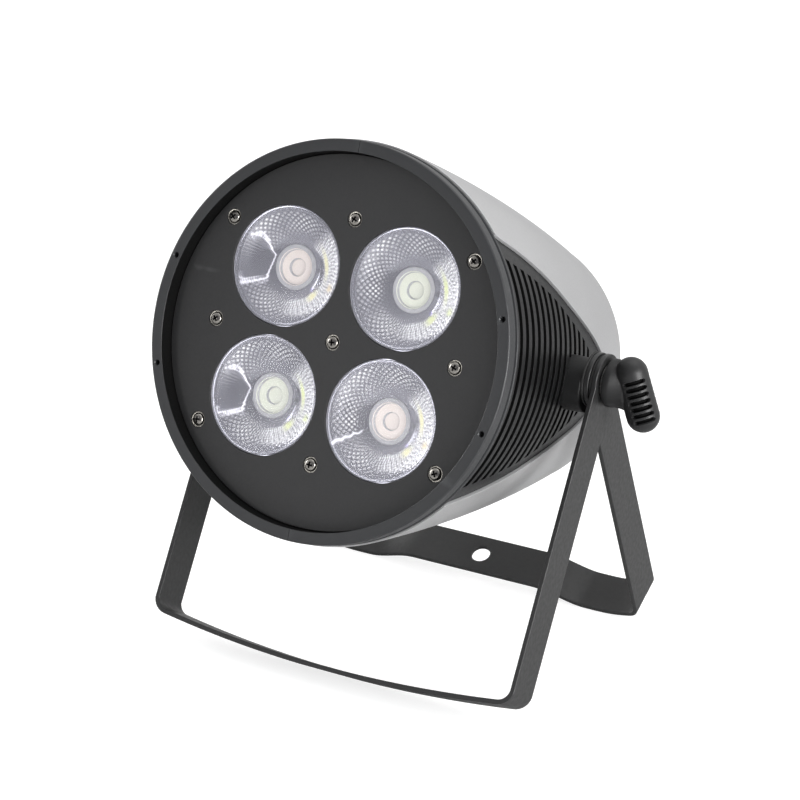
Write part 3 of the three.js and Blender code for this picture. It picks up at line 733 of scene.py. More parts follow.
def side_grille():
    """Right side panel with its slots."""
    depths, solid_rows = [12.4, 15.0], [True]  # a row is the strip between two depths

    def advance(to, count, solid):
        depths.extend(np.linspace(depths[-1], to, count + 1)[1:])
        solid_rows.extend([solid] * count)

    for slot, _ in SLOTS:
        advance(slot - SLOT_HALF, 3, True)
        advance(slot + SLOT_HALF, 2, False)
    advance(223.5, 13, True)
    border, middle = 4, 44  # columns beyond a slot's end, and along the slot
    columns = 2 * border + middle
    shells = np.zeros((2, len(depths), columns + 1, 3))
    for j, depth in enumerate(depths):
        edge = leaf(depth)
        end = min(slot_end(depth) if depth < 190 else 5.0, edge * 0.86)
        heights = np.concatenate([np.linspace(edge, end, border + 1),
                                  np.linspace(end, -end, middle + 1)[1:],
                                  np.linspace(-end, -edge, border + 1)[1:]])
        for shell, inset in zip(shells, (2.0, 8.5)):
            shell[j] = under_cover(inset, heights, depth)
    solid = np.ones((len(solid_rows), columns), bool)
    solid[~np.array(solid_rows), border:border + middle] = False
    return thick(*shells, solid)


def side_lip():
    """Strips under the seams between the right side panel and the covers."""
    strips = []
    for sign in (1, -1):
        shells = np.zeros((2, 70, 5, 3))
        for j, depth in enumerate(np.linspace(13, LEAF_END, 70)):
            edge = leaf(depth)
            heights = sign * np.linspace(max(edge - 3, -1), edge + 5, 5)
            for shell, inset in zip(shells, (2.75, 4.6)):
                shell[j] = under_cover(inset, heights, depth)
        strips.append(thick(*shells))
    return join(strips)


def rim_half():
    """Right half of the front rim, with two small holes in its front edge."""
    profile = rounded([
        (112.5, 0, 0.45), (120, 0, 1.3), (120, -8.4, 0.5), (118.7, -9.0, 0.3),
        (118.7, -10.3, 0.3), (120.25, -10.8, 0.5), (120.25, -12.5, 0.4), (118.2, -12.6, 0),
        (117.6, -20, 0), (114.4, -20, 0), (114.4, -16.5, 0), (98, -16.5, 0),
        (98, -13.73, 0), (112.5, -13.73, 0)])
    seam = math.asin(0.12 / 116)
    rim = revolve(profile, 180, -PI / 2 + seam, PI / 2 - seam)
    drill = revolve([(0, 3), (2.1, 3), (2.1, 0.02), (1.5, -0.7), (1.5, -5), (0, -5)], 32)
    for y in (33.25, -33.25):
        rim = boolean(rim, drill.shift(111.2, y, 0))
    return rim


def clamp_boss():
    """Round boss on the right side, drilled at the pivot."""
    edge = [(17.0 - 0.9 * (1 - math.cos(a)), 117.9 + 0.9 * math.sin(a))
            for a in np.linspace(0, PI / 2, 6)]
    body = lathe_x([(0, 92), (17.4, 92)] + edge + [(0, 118.8)], 96)
    hole = lathe_x([(0, 80), (4.4, 80), (4.4, 130), (0, 130)], 40)
    return boolean(body.shift(0, 0, -RIM_AHEAD), hole.shift(0, PIVOT_RISE, -RIM_AHEAD))


def rim_recess(centre):
    """1 on the rim's bore and in the groove round its outside, which get painted shade."""
    radius = math.hypot(centre.x, centre.y)
    bore = radius < 112.75 and centre.z < -0.35
    return int(bore or (radius < 119.3 and -10.9 < centre.z < -8.6))


# 1 on the slots' inner walls, which get painted shade
def grille_inside(centre):
    return int(math.hypot(centre.x, centre.y) < cover_radius(-centre.z) - 2.9)


RIM, GRILLE, LIP, BOSS = rim_half(), side_grille(), side_lip(), clamp_boss()
for side, sign in (("right", 1), ("left", -1)):
    mirror = Matrix.Diagonal((sign, 1, 1, 1))
    node = side + "_side_frame"
    piece(side + "_rim_half", RIM.at(mirror), ["housing_black", "painted_shade_black"], node,
          smooth=28, pick=rim_recess)
    piece(side + "_side_grille", GRILLE.at(mirror), ["side_panel_black", "painted_shade_black"], node,
          bevel=0.9, pick=grille_inside)
    piece(side + "_side_lip", LIP.at(mirror), "side_panel_black", node)
    piece(side + "_clamp_boss", BOSS.at(mirror), "boss_black", node)

# ------------------------------------------------------------------ face plate
# in two layers, so that the screws sit in wider holes of the front one
sheet = [circle(0, 0, PLATE_R, 200)]
sheet += [circle(x, y, 36.6, 96) for x, y in LENSES.values()]
sheet += [circle(x, y, 4.8, 32) for x, y in SCREWS.values()]
backing = [circle(0, 0, PLATE_R - 0.2, 160)]
backing += [circle(x, y, 36.65, 96) for x, y in LENSES.values()]
backing += [circle(x, y, 1.9, 20) for x, y in SCREWS.values()]
piece("face_plate_sheet", slab(sheet, PLATE_Z - 1.4, PLATE_Z, bevel=0.35),
      "face_plate_black", "face_plate")
piece("face_plate_back", slab(backing, PLATE_Z - 3, PLATE_Z - 1.42, steps=1),
      "face_plate_black", "face_plate")

# ------------------------------------------------------------------ screws
SCREW_R, SCREW_HIGH = 3.65, 2.1  # head
SHANK_R, THREAD_PITCH, THREADS = 1.6, 0.5, 14


def dome_height(angle):
    return SCREW_HIGH * (0.22 + 0.78 * math.cos(angle))


def make_screw():
    """Domed cross-head screw along z, the head's underside at z = 0."""
    profile = [(0, SCREW_HIGH)]
    for share in np.linspace(0.12, 1, 10):
        angle = share * PI / 2 * 0.94
        profile.append((SCREW_R * math.sin(angle) ** 0.9, dome_height(angle)))
    profile += [(SCREW_R, SCREW_HIGH * 0.16), (SCREW_R * 0.96, 0.0), (SHANK_R, 0)]
    for k in range(THREADS):
        z = -k * THREAD_PITCH
        profile += [(SHANK_R, z - 0.25), (SHANK_R - 0.25, z - 0.5)]
    profile.append((0, -THREADS * THREAD_PITCH - 0.3))
    screw = revolve(profile, 40)
    # each arm of the cross tapers: half length, half width, z
    levels = ((SCREW_R * 0.56 * 1.25, 0.6 * 1.12, SCREW_HIGH + 0.6),
              (SCREW_R * 0.30, 0.6 * 0.7, SCREW_HIGH - 1.5))
    corners = [(x * length, y * width, z) for length, width, z in levels
               for x, y in ((-1, -1), (1, -1), (1, 1), (-1, 1))]
    arm = Surface(corners, [(0, 1, 2, 3), (7, 6, 5, 4), (0, 4, 5, 1), (1, 5, 6, 2),
                            (2, 6, 7, 3), (3, 7, 4, 0)])
    for turn in (0, PI / 2):
        screw = boolean(screw, arm.at(Matrix.Rotation(turn, 4, "Z")))
    return screw


def in_cross(centre):
    """1 inside the cross, below the dome, which gets painted shade."""
    radius = math.hypot(centre.x, centre.y)
    dome = dome_height(min(1.45, math.asin(min(1, radius / SCREW_R))))
    in_arm = radius < 2.6 and (abs(centre.x) < 0.9 or abs(centre.y) < 0.9)
    return int(in_arm and 0.3 < centre.z < dome - 0.12)


SCREW = make_screw()
SCREW_SEAT = revolve(rounded([(1.85, 0, 0), (4.7, 0, 0), (4.7, 0.55, 0.3), (4.05, 0.3, 0),
                              (1.85, 0.3, 0)], 2), 40)
rng = np.random.RandomState(7)


def add_screw(name, node, place):
    """Sets a screw in, turned at random."""
    turn = Matrix.Rotation(rng.uniform(0, PI / 2), 4, "Z")
    piece(name, SCREW, ["screw_head", "painted_shade_black"], node, place @ turn, smooth=30,
          pick=in_cross)


for where, (x, y) in SCREWS.items():
    add_screw("plate_screw_" + where, "face_screw_" + where,
              OPTIC @ Matrix.Translation((x, y, PLATE_Z - 1.0)))
    # the seat's inner ring, round and under the screw head, gets painted shade
    piece("screw_seat_" + where, SCREW_SEAT, ["screw_nickel", "painted_shade_black"],
          place=OPTIC @ Matrix.Translation((x, y, PLATE_Z - 1.38)), smooth=30,
          pick=lambda centre: int(math.hypot(centre.x, centre.y) < 4.15))

# ------------------------------------------------------------------ lenses
FACET_COLUMNS = 46
BOWL_R, CORE_R = 35.2, 14.0  # faceted dish: outer and inner radius
BOWL_Z, CORE_Z = -12.2, -22.9  # and where they lie
LENS_FRONT_Z = -11.1
PARALLAX = 0.44  # how far the dish seems to shift, per mm behind the lens front
# back of the dish's body, from the rim inward: radius, z
BOWL_BACK = [(36.15, -12.0), (36.15, -13.73), (38.2, -13.73), (38.2, -15.7), (35.9, -15.8),
             (15.5, -45), (9.0, -45), (9.0, -28.5), (14.0, -28.5)]
# hexagonal patches without facets: direction, distance from the lens axis, half width
HEXAGONS = {"top_left": (PI * 0.988, 24.0, 12.2), "bottom_left": (PI * 1.025, 24.6, 11.8)}
# straight painted highlight strokes: start and end
STROKES = {"bottom_right": ((-10.8, -8.8), (-30.6, -19.6))}


def clamp(value):
    return np.clip(value, 0, 1)


def ramp(value, start, end):
    share = clamp((value - start) / (end - start))
    return share * share * (3 - 2 * share)


def bell(offset, width, power=2):
    return np.exp(-(offset / width) ** power)


def wrap(angle):
    return (angle + PI) % (2 * PI) - PI


def blend(colour, target, amount):
    return colour + (target - colour) * amount


def rgb(*channels):
    return np.array(channels)[:, None]


def facet_height(angle, share):
    """Diamond facets where two sets of spirals cross; share runs from rim to core."""
    along = angle / (2 * PI) * FACET_COLUMNS
    return np.abs(np.sin((along + share * 7.0) * PI) * np.sin((along - share * 7.0) * PI))


def hex_patch(x, y, hexagon):
    """Distance outside the hexagon, and how strongly its edge shows in this direction."""
    angle, distance, half_width = hexagon
    facing, spread = -0.14, 2.15
    dx, dy = x - distance * np.cos(angle), y - distance * np.sin(angle)
    across = [np.abs(dx * np.cos(k * PI / 3 - 0.26) + dy * np.sin(k * PI / 3 - 0.26))
              for k in range(3)]
    off = np.abs(wrap(np.arctan2(dy, dx) - facing))
    return np.max(across, axis=0) - half_width, clamp((spread - off) / 0.35)


def lens_bowl(hexagon):
    """The faceted dish behind the flat lens front, as a closed body."""
    rings, turns = 70, 8 * FACET_COLUMNS
    share = np.linspace(0, 1, rings + 1)[:, None]
    angles = 2 * PI * np.arange(turns) / turns
    radius = BOWL_R + (CORE_R - BOWL_R) * share + 0 * angles
    z = BOWL_Z + (CORE_Z - BOWL_Z) * (1 - (1 - clamp((share - 0.05) / 0.95)) ** 1.3) + 0 * angles
    fade = clamp((share - 0.09) / 0.08) * clamp((0.80 - share) / 0.22)
    ridge = 0
    if hexagon:
        far, shows = hex_patch(radius * np.cos(angles) + PARALLAX * (LENS_FRONT_Z - z),
                               radius * np.sin(angles), hexagon)
        fade = fade * clamp(far / 1.2)
        ridge = (bell(far - 0.4, 0.7) * shows * clamp((0.85 - share) / 0.1)
                 * clamp((share - 0.05) / 0.05))
    relief = 0.30 * fade * facet_height(angles, share) + 0.45 * ridge
    # fine radial flutes, then two rings near the rim
    relief = relief + (0.07 * np.cos(angles * 2 * FACET_COLUMNS) * clamp((0.62 - share) / 0.3)
                       * clamp(share / 0.1))
    relief = relief + 0.16 * bell(share - 0.03, 0.014) + 0.12 * bell(share - 0.08, 0.014)
    back_radius, back_z = np.array(BOWL_BACK).T[:, :, None] + 0 * angles
    radius = np.vstack([radius - relief * 0.5, back_radius])
    z = np.vstack([z + relief, back_z])
    points = np.stack([radius * np.cos(angles), radius * np.sin(angles), z], -1).reshape(-1, 3)
    grid = np.arange(len(points)).reshape(-1, turns)
    nexts = [(j, (j + 1) % turns) for j in range(turns)]
    faces = [(grid[i, j], grid[i, after], grid[i + 1, after], grid[i + 1, j])
             for i in range(rings) for j, after in nexts]
    chain = [0, *range(rings + 1, len(grid)), rings]  # from the rim round the back to the core
    faces += [(grid[row, after], grid[row, j], grid[below, j], grid[below, after])
              for row, below in zip(chain, chain[1:]) for j, after in nexts]
    return Surface(points, faces)


def hex_line(seen_x, y, radius, angle, share, far, shows):
    """Painted highlight: a bright toothed line round the hexagon, broader away from its near
    corner.
    """
    away = clamp((np.hypot(seen_x + 9.5, y - 1.0) - 7.0) / 9.0)
    teeth = (0.3 + 1.5 * away) * np.abs(np.sin(angle * FACET_COLUMNS / 2))
    line = shows * bell(far - 0.4 - teeth, 0.5 + 1.15 * away)
    line = line * ramp(share, 0.02, 0.07) * ramp(0.99 - share, 0.0, 0.06)
    return line * (1 - 0.35 * away * (0.5 + 0.5 * np.sin(radius * 5.2)))


def stroke_line(seen_x, y, stroke):
    """Painted highlight: a bright zigzag stroke that widens along its length."""
    (start_x, start_y), (end_x, end_y) = stroke
    length = math.hypot(end_x - start_x, end_y - start_y)
    ux, uy = (end_x - start_x) / length, (end_y - start_y) / length
    along = (seen_x - start_x) * ux + (y - start_y) * uy
    zigzag = 0.55 * np.abs((along * 0.34) % 2 - 1) * 2 - 0.55
    across = -(seen_x - start_x) * uy + (y - start_y) * ux + zigzag
    line = bell(across, 0.45 + 0.045 * np.maximum(0.0, along))
    return line * ramp(along, -0.4, 0.6) * ramp(length - along, -0.6, 0.8)


def lens_colour_and_painted_light(points, warm, hexagon, stroke):
    """Colours of the dish with painted highlights, reflections and shade; alpha says where the
    painted highlights glow. Angles are in radians.
    """
    x, y, z = points.T
    radius, angle = np.hypot(x, y), np.arctan2(y, x)
    # seen through the flat front, the dish shifts with depth
    seen_x = x + PARALLAX * (LENS_FRONT_Z - z)
    seen_r, seen_a = np.hypot(seen_x, y), np.arctan2(y, seen_x)
    share = (BOWL_R - radius) / (BOWL_R - CORE_R)

    def lobe(middle, width):
        return bell(wrap(seen_a - middle), width)

    def whiten(colour, amount):
        return blend(colour, rgb(0.97, 0.97, 0.985), clamp(amount))

    def blot(centre_x, centre_y, half_x, half_y):
        return bell(((seen_x - centre_x) / half_x) ** 2 + ((y - centre_y) / half_y) ** 2, 1)

    # facets: painted shade in the seams and painted highlights on the middles, strongest at the
    # left
    cell = facet_height(angle, share)
    zone = clamp((share - 0.07) / 0.08) * clamp((0.84 - share) / 0.26)
    line = 0.0
    if hexagon:
        far, shows = hex_patch(seen_x, y, hexagon)
        zone = zone * clamp(far / 1.2)
        line = hex_line(seen_x, y, radius, angle, share, far, shows)
    if stroke:
        line = stroke_line(seen_x, y, stroke)
    lobes = [lobe(2.25, 0.42), lobe(3.38, 0.32), 0.8 * lobe(2.8, 0.45),
             0.6 * lobe(1.45, 0.55), 0.5 * lobe(-1.95, 0.5)]
    lively = 0.14 + 0.86 * np.max(lobes, axis=0)
    patchy = 0.68 + 0.32 * np.sin(angle * 3 + 1.1) * np.sin(radius * 0.35 + angle)
    base = rgb(0.325, 0.325, 0.372)
    colour = base * (1 - (0.26 + 0.22 * lively) * zone * patchy * (1 - cell) ** 3)
    spark = zone * patchy * np.maximum(0.0, cell - 0.3) / 0.7 * lively
    colour = whiten(colour, spark * 1.9)
    # a painted whitish sheen on the outer band at the left
    painted_sheen = 0.25 * lobe(2.75, 0.5) * ramp(seen_r, 23, 29) * ramp(34.5 - seen_r, 0, 3)
    colour = whiten(colour, painted_sheen)

    # painted reflections: crisp short streaks in a band on the right, painted shade between them
    inner = 25.8 - 5.0 * clamp((seen_a - 0.12) / 0.5) - 4.6 * clamp((-seen_a - 0.32) / 0.8)
    outer = 36.5 - 5.5 * clamp((-seen_a - 0.5) / 0.8)
    side = ramp(0.92 - seen_a, 0.0, 0.34) * ramp(seen_a + 1.66, 0.0, 0.5)
    side = side * ramp(seen_r, inner - 1.0, inner + 0.8) * ramp(outer - seen_r, -0.6, 2.6)
    side = side * ramp(35.4 - radius, 0, 0.8)
    fine = 0.5 + 0.5 * np.cos(angle * 2 * FACET_COLUMNS + 1.2 * np.sin(radius * 0.8))
    grain = 0.5 + 0.5 * np.sin(angle * 31 + radius * 1.7) * np.sin(angle * 19 - radius * 2.3)
    cross = 0.5 + 0.5 * np.sin(radius * 5.3 + angle * 26)
    painted_streak = clamp(0.05 + 0.55 * grain + 0.55 * fine * (0.6 + 0.4 * cross))
    colour = whiten(colour, side * painted_streak * 1.25)
    colour = colour * (1 - 0.75 * side * np.maximum(0.0, 0.4 - painted_streak))

    # painted reflections: fine rays below the core, painted shade between them
    low = bell(seen_a + 1.75, 0.55) * ramp(seen_r, 16.5, 19) * ramp(30 - seen_r, 0, 5)
    colour = whiten(colour, low * fine * 0.45)
    colour = colour * (1 - 0.28 * low * (1 - fine))

    # painted reflections: coloured glints and one small spot
    glint_colour = rgb(0.97, 0.93, 0.52) if warm else rgb(0.88, 0.95, 0.42)
    glint_spot_colour = rgb(0.98, 0.78, 0.42) if warm else rgb(0.80, 0.90, 0.35)
    glint = np.maximum(lobe(0.2, 0.3) * bell(seen_r - (27.2 - 3.0 * seen_a), 1.4, power=4),
                       lobe(-0.64, 0.15) * bell(seen_r - 25.2, 2.1, power=4))
    glint = glint * (0.8 + 0.2 * grain)
    glint_spot = lobe(-0.27, 0.07) * bell(seen_r - 32.4, 1.7) * (0.5 + 0.5 * grain)
    colour = blend(colour, glint_colour, np.minimum(1.0, glint))
    colour = blend(colour, glint_spot_colour, glint_spot)

    # painted shade: dark breaks beside the core; a bluish patch is a painted reflection
    dark = blot(21.8, 0.3, half_x=2.1, half_y=1.7)
    dusk = blot(19.2, -11.6, half_x=1.5, half_y=1.6)
    arch = 0.45 * bell(radius - 16.2, 0.8) * lobe(2.1, 0.35)
    colour = colour * (1 - 0.62 * dark - 0.3 * arch)
    colour = blend(colour, rgb(0.34, 0.30, 0.58), dusk * 0.7)
    gap = np.maximum(0.0, 1 - np.abs(seen_r - 23.6) / 1.2) * lobe(0.0, 0.5)
    colour = colour * (1 - 0.22 * gap)
    # the painted highlight line round the hexagon, or along the stroke
    colour = blend(colour, rgb(0.93, 0.92, 1.0), np.minimum(1.0, line))

    # how strongly the painted highlights glow; this is the alpha
    painted_highlight = (side * painted_streak + 0.85 * glint + 0.7 * glint_spot + 1.1 * line + spark + 0.5 * painted_sheen
               + 0.35 * low * fine)
    colour_and_painted_light = np.vstack([clamp(colour), np.minimum(1.0, painted_highlight) * (1 - dark)])
    outside = (z < -23.4) | (radius > 35.9)
    return np.where(outside, np.vstack([base, rgb(0.0)]), colour_and_painted_light).T


def core_grooves(centre):
    """1 in the two ring grooves of the lens core."""
    radius = math.hypot(centre.x, centre.y)
    return int((5.0 < radius < 5.5 and centre.z < -25.3)
               or (10.45 < radius < 10.95 and -27 < centre.z < -22.95))


LENS_FRONT = revolve(
    [(0, -11.15), (12, -11.12), (24, -11.1), (34.6, -11.1), (34.9, -10.95)]
    + [(35.72 + 0.45 * math.sin(a), -11.3 + 0.45 * math.cos(a))
       for a in np.linspace(-0.4, PI / 2, 7)]
    + [(36.2, -12.0), (0, -12.0)], 160)
LENS_WELL = revolve(rounded([(11.2, -22.5, 0.35), (13.9, -22.6, 0.6), (13.95, -27.0, 0),
                             (11.2, -27.0, 0)]))
LENS_CORE = revolve([
    (0, -27.2), (4.6, -27.3), (5.0, -27.2), (5.2, -26.8), (5.3, -25.6), (5.6, -25.2),
    (6.0, -25.1), (10.1, -25.3), (10.5, -25.2), (10.7, -24.8), (10.9, -22.9),
    (11.25, -22.7), (11.25, -27.6), (0, -27.6)])


def lens(where, x, y):
    place = OPTIC @ Matrix.Translation((x, y, 0))
    node = "lens_" + where
    warm = where in WARM_LENSES
    hexagon, stroke = HEXAGONS.get(where), STROKES.get(where)
    piece("lens_facets_" + where, lens_bowl(hexagon), "lens_facets", node, place, smooth=60,
          weighted=False, colour_and_painted_light=lambda points: lens_colour_and_painted_light(points, warm, hexagon, stroke))
    piece("lens_front_" + where, LENS_FRONT, "lens_clear", node, place, smooth=40)
    piece("lens_well_" + where, LENS_WELL, "lens_well", node, place, smooth=40)
    piece("lens_core_" + where, LENS_CORE, ["led_warm" if warm else "led_cool", "lens_well"],
          node, place, smooth=35, pick=core_grooves)


for where, (x, y) in LENSES.items():
    lens(where, x, y)

# ------------------------------------------------------------------ yokes
STRAP_T, STRAP_WIDTH, EYE_R = 3.0, 30.0, 17.0


def yoke_path(half_span, level, corner_r):
    """The strap's outer line from eye to eye: rows of x, drop, normal x, normal drop,
    and the length along it from the first eye."""
    def slope(x):
        return level(x + 0.25) * 2 - level(x - 0.25) * 2

    # find where the corner arc meets the cross part
    meet = half_span - corner_r
    for _ in range(30):
        tilt = slope(meet)
        meet = half_span - corner_r - tilt / math.hypot(1, tilt) * corner_r
    centre_x = half_span - corner_r
    centre_drop = level(meet) - corner_r / math.hypot(1, slope(meet))
    end = math.atan2(level(meet) - centre_drop, meet - centre_x)
    path = [(half_span, drop, 1.0, 0.0) for drop in np.linspace(-20, centre_drop, 60)]
    for i in range(1, 15):
        cos, sin = math.cos(end * i / 14), math.sin(end * i / 14)
        path.append((centre_x + corner_r * cos, centre_drop + corner_r * sin, cos, sin))
    for x in np.linspace(meet, 0, 110)[1:]:
        tilt = slope(x)
        size = math.hypot(1, tilt)
        path.append((x, level(x), -tilt / size, 1 / size))
    path += [(-x, drop, -nx, n_drop) for x, drop, nx, n_drop in reversed(path[:-1])]
    path = np.array(path)
    steps = np.hypot(np.diff(path[:, 0]), np.diff(path[:, 1]))
    return path, np.r_[0, np.cumsum(steps)] - 20.0


def yoke(side, half_span, level, corner_r, place, hole_r, step):
    """A flat strap with an eye at each end, bent along the path. step: mm between slices."""
    path, lengths = yoke_path(half_span, level, corner_r)
    total = lengths[-1] - 20.0
    joint = math.asin(STRAP_WIDTH / 2 / EYE_R)  # where an eye meets the strap
    outline = [(total + EYE_R * math.cos(a), EYE_R * math.sin(a))
               for a in np.linspace(-(PI - joint), PI - joint, 56)]
    outline += [(EYE_R * math.cos(a), EYE_R * math.sin(a))
                for a in np.linspace(joint, 2 * PI - joint, 56)]
    loops = [outline, circle(0, 0, 4.7, 40), circle(total, 0, 4.7, 40)]
    if hole_r:
        loops.append(circle(total / 2, 0, hole_r, 56))
    strap = slab(loops, 0, STRAP_T, bevel=0.55, low_bevel=0.55)
    # slice closely in the corners, not at all on the straight legs
    places, last = [], -9.0
    for length, normal_x in zip(lengths, np.abs(path[:, 2])):
        gap = 1.2 if normal_x > 0.12 else step
        if normal_x < 0.99999 and 5 < length < total - 5 and length - last > gap:
            last = float(length)
            places.append(last)
    strap = slice_x(strap, places)
    along, across, z = strap.points.T
    x, drop, normal_x, normal_drop = (np.interp(along, lengths, column) for column in path.T)
    size = np.hypot(normal_x, normal_drop)
    depth = STRAP_T - z
    points = np.c_[x - normal_x / size * depth, across, -(drop - normal_drop / size * depth)]
    piece(side + "_yoke_strip", Surface(points, strap.faces), "yoke_black", side + "_yoke",
          place, side + "_yoke", smooth=26)


FRONT_HALF_SPAN = 129.05


def front_level(x):
    """Drop of the front yoke's cross part: a curve, flat in the middle."""
    flat = 15
    return 214.64 - 9.53 * (max(abs(x), flat) ** 2 - flat ** 2) / FRONT_HALF_SPAN ** 2


def rear_level(x):
    """Drop of the rear yoke's cross part: its middle is raised."""
    x = abs(x)
    low, raised = 215.8, 206.9
    if x > 93:
        return low - 0.0063 * (x - 93) ** 2
    if x > 83:
        return low
    if x < 46:
        return raised
    share = (x - 46) / 37
    return raised + (low - raised) * share * share * (3 - 2 * share)


yoke("front", FRONT_HALF_SPAN, front_level, corner_r=11.0, place=at_pivot(-28.52, "X"),
     hole_r=0, step=7.0)
yoke("rear", 123.79, rear_level, corner_r=8.5, place=at_pivot(29.16, "X"), hole_r=6.5, step=3.0)

# ------------------------------------------------------------------ clamps
# drawn for the right side in the pivot's frame: x outward, z up
GRIP_R, GRIP_LENGTH, GRIP_TILT = 10.3, 27.0, rad(21)
GRIP_X, GRIP_Z = 144.5, 8.3  # centre of the grip's upper end
# neck sections: x, centre z, half height, half width
NECK = [(131.1, 0, 14.4, 14.4), (131.5, 0, 14.9, 14.9), (132.2, 0, 15.1, 15.1),
        (134.6, 0, 15.1, 15.0), (136.0, -0.1, 14.6, 14.2), (138, -0.7, 13.9, 12.6),
        (140.5, -1.7, 13.3, 10.9), (143, -2.6, 12.9, 9.6), (146, -3.7, 12.6, 8.6),
        (149, -4.6, 12.2, 7.9), (151.5, -5.4, 11.4, 7.2)]


def groove_depth(angle, z):
    """Depth of the seven cross grooves in each of the grip's two outward flanks."""
    depth = 0.0
    for middle in (62, -62):
        away = abs((math.degrees(angle) - middle + 180) % 360 - 180) / 41.0
        if away >= 1:
            continue
        half = math.sqrt(1 - away ** 8)
        for k in range(7):
            inside = half + 0.3 - abs(z - (-4.6 - 4.1 * k))
            depth = max(depth, 2.6 * min(1.0, inside / 0.5))
    return depth


def grip():
    """Grooved capsule that leans outward as it goes down."""
    profile = []  # radius, z, normal's radius, normal's z
    for a in np.linspace(PI / 2, 0, 22):
        cos, sin = math.cos(a), math.sin(a)
        profile.append((GRIP_R * cos, GRIP_R * sin, cos, sin))
    profile += [(GRIP_R, z, 1, 0) for z in np.arange(-0.3, -GRIP_LENGTH, -0.3)]
    for a in np.linspace(0, -PI / 2, 30):
        cos, sin = math.cos(a), math.sin(a)
        profile.append((GRIP_R * cos, -GRIP_LENGTH + GRIP_R * sin, cos, sin))
    turns = 168
    points, rows = [], []
    for radius, z, normal_r, normal_z in profile:
        start = len(points)
        if radius < 1e-6:
            points.append((0, 0, z))
            rows.append([start] * turns)
            continue
        rows.append(range(start, start + turns))
        for j in range(turns):
            angle = 2 * PI * j / turns
            depth = groove_depth(angle, z)
            inset = radius - depth * normal_r
            points.append((inset * math.cos(angle), inset * math.sin(angle),
                           z - depth * normal_z))
    faces = []
    for upper, lower in zip(rows, rows[1:]):
        for j in range(turns):
            after = (j + 1) % turns
            add_face(faces, [upper[j], lower[j], lower[after], upper[after]])
    lean = Matrix.Rotation(-GRIP_TILT, 4, "Y")
    return Surface(points, faces).at(Matrix.Translation((GRIP_X, 0, GRIP_Z)) @ lean)


def neck():
    count = 96
    angles = [2 * PI * j / count for j in range(count)]
    points = [(x, half_width * math.cos(a), centre + half_height * math.sin(a))
              for x, centre, half_height, half_width in NECK for a in angles]
    rows = np.arange(len(points)).reshape(-1, count)
    faces = [rows[0][::-1], rows[-1]]
    for row, above in zip(rows, rows[1:]):
        for j in range(count):
            after = (j + 1) % count
            faces.append((row[j], row[after], above[after], above[j]))
    return Surface(points, faces)


def lever_part(centre):
    """Material index: 1 inside a groove, which gets painted shade; 2 on the hub outside the
    capsule, in the darker boss plastic, partly painted shade; else 0.
    """
    x, z = centre.x - GRIP_X, centre.z - GRIP_Z
    along = z * math.cos(GRIP_TILT) - x * math.sin(GRIP_TILT)
    out = x * math.cos(GRIP_TILT) + z * math.sin(GRIP_TILT)
    nearest = min(0.0, max(-GRIP_LENGTH, along))
    far = math.sqrt(out * out + centre.y * centre.y + (along - nearest) ** 2)
    if far > GRIP_R + 0.3:
        return 2
    return int(far < GRIP_R - 1.0 and along < -2.5)


def washer(radius, start, end):
    bore, edge = 4.4, 0.25
    return lathe_x(rounded([(bore, start, edge), (radius, start, edge), (radius, end, edge),
                            (bore, end, edge)], 3), 72)


def stud():
    """Threaded rod."""
    profile = [(0, 90), (3.2, 90), (4.0, 90.9)]
    for k in range(22):
        profile += [(4.0, 91.2 + k * 1.25), (3.55, 91.8 + k * 1.25)]
    return lathe_x(profile + [(4.0, 119.3), (4.0, 143), (0, 143)], 32)


def nut():
    corners = [(8 * math.cos(PI / 3 * i), 8 * math.sin(PI / 3 * i), 0.3) for i in range(6)]
    loops = [rounded(corners, 2), circle(0, 0, 4.4, 32)]
    return slab(loops, 91.4, 97.7, bevel=0.5, low_bevel=0.5).along_x()


LEVER, STUD, NUT = boolean(neck(), grip(), "UNION"), stud(), nut()
# name, surface, material, CAD piece it replaces
HARDWARE = [
    ("_boss_nut", NUT, "zinc_steel", "_clamp_nut"),
    ("_boss_washer", washer(17.2, 119.1, 120.5), "washer_rubber", "_inner_washer"),
    ("_yoke_washer", washer(16.0, 124.1, 125.75), "washer_rubber", "_middle_washer"),
    ("_lever_washer", washer(12.0, 129.35, 130.75), "zinc_steel", "_outer_washer")]
for side, turn in (("right", 0), ("left", 180)):
    place = at_pivot(turn, "Z")
    body = side + "_lever"
    piece(side + "_lever_grip", LEVER, ["lever_black", "groove_painted_shade", "boss_black"],
          side + "_clamp_lever", place, body, smooth=38, pick=lever_part)
    piece(side + "_stud_rod", STUD, "zinc_steel", side + "_clamp_stud", place, body)
    for name, surface, material, node in HARDWARE:
        piece(side + name, surface, material, side + node, place)

# ------------------------------------------------------------------ rear panel
# here z falls from the panel's outer face, BACK, towards the viewer behind it
BUTTONS = {"menu": -27, "down": -9, "up": 9, "enter": 27}
BUTTON_Y, DISPLAY_Y, EYE_Y = 14, 38, 64
SOCKET_X = 24
SIGNAL_Y, MAINS_Y = -14, -46
PANEL_SCREW = 53
PANEL_SCREWS = {"top_left": (-PANEL_SCREW, PANEL_SCREW), "top_right": (PANEL_SCREW, PANEL_SCREW),
                "bottom_left": (-PANEL_SCREW, -PANEL_SCREW),
                "bottom_right": (PANEL_SCREW, -PANEL_SCREW)}

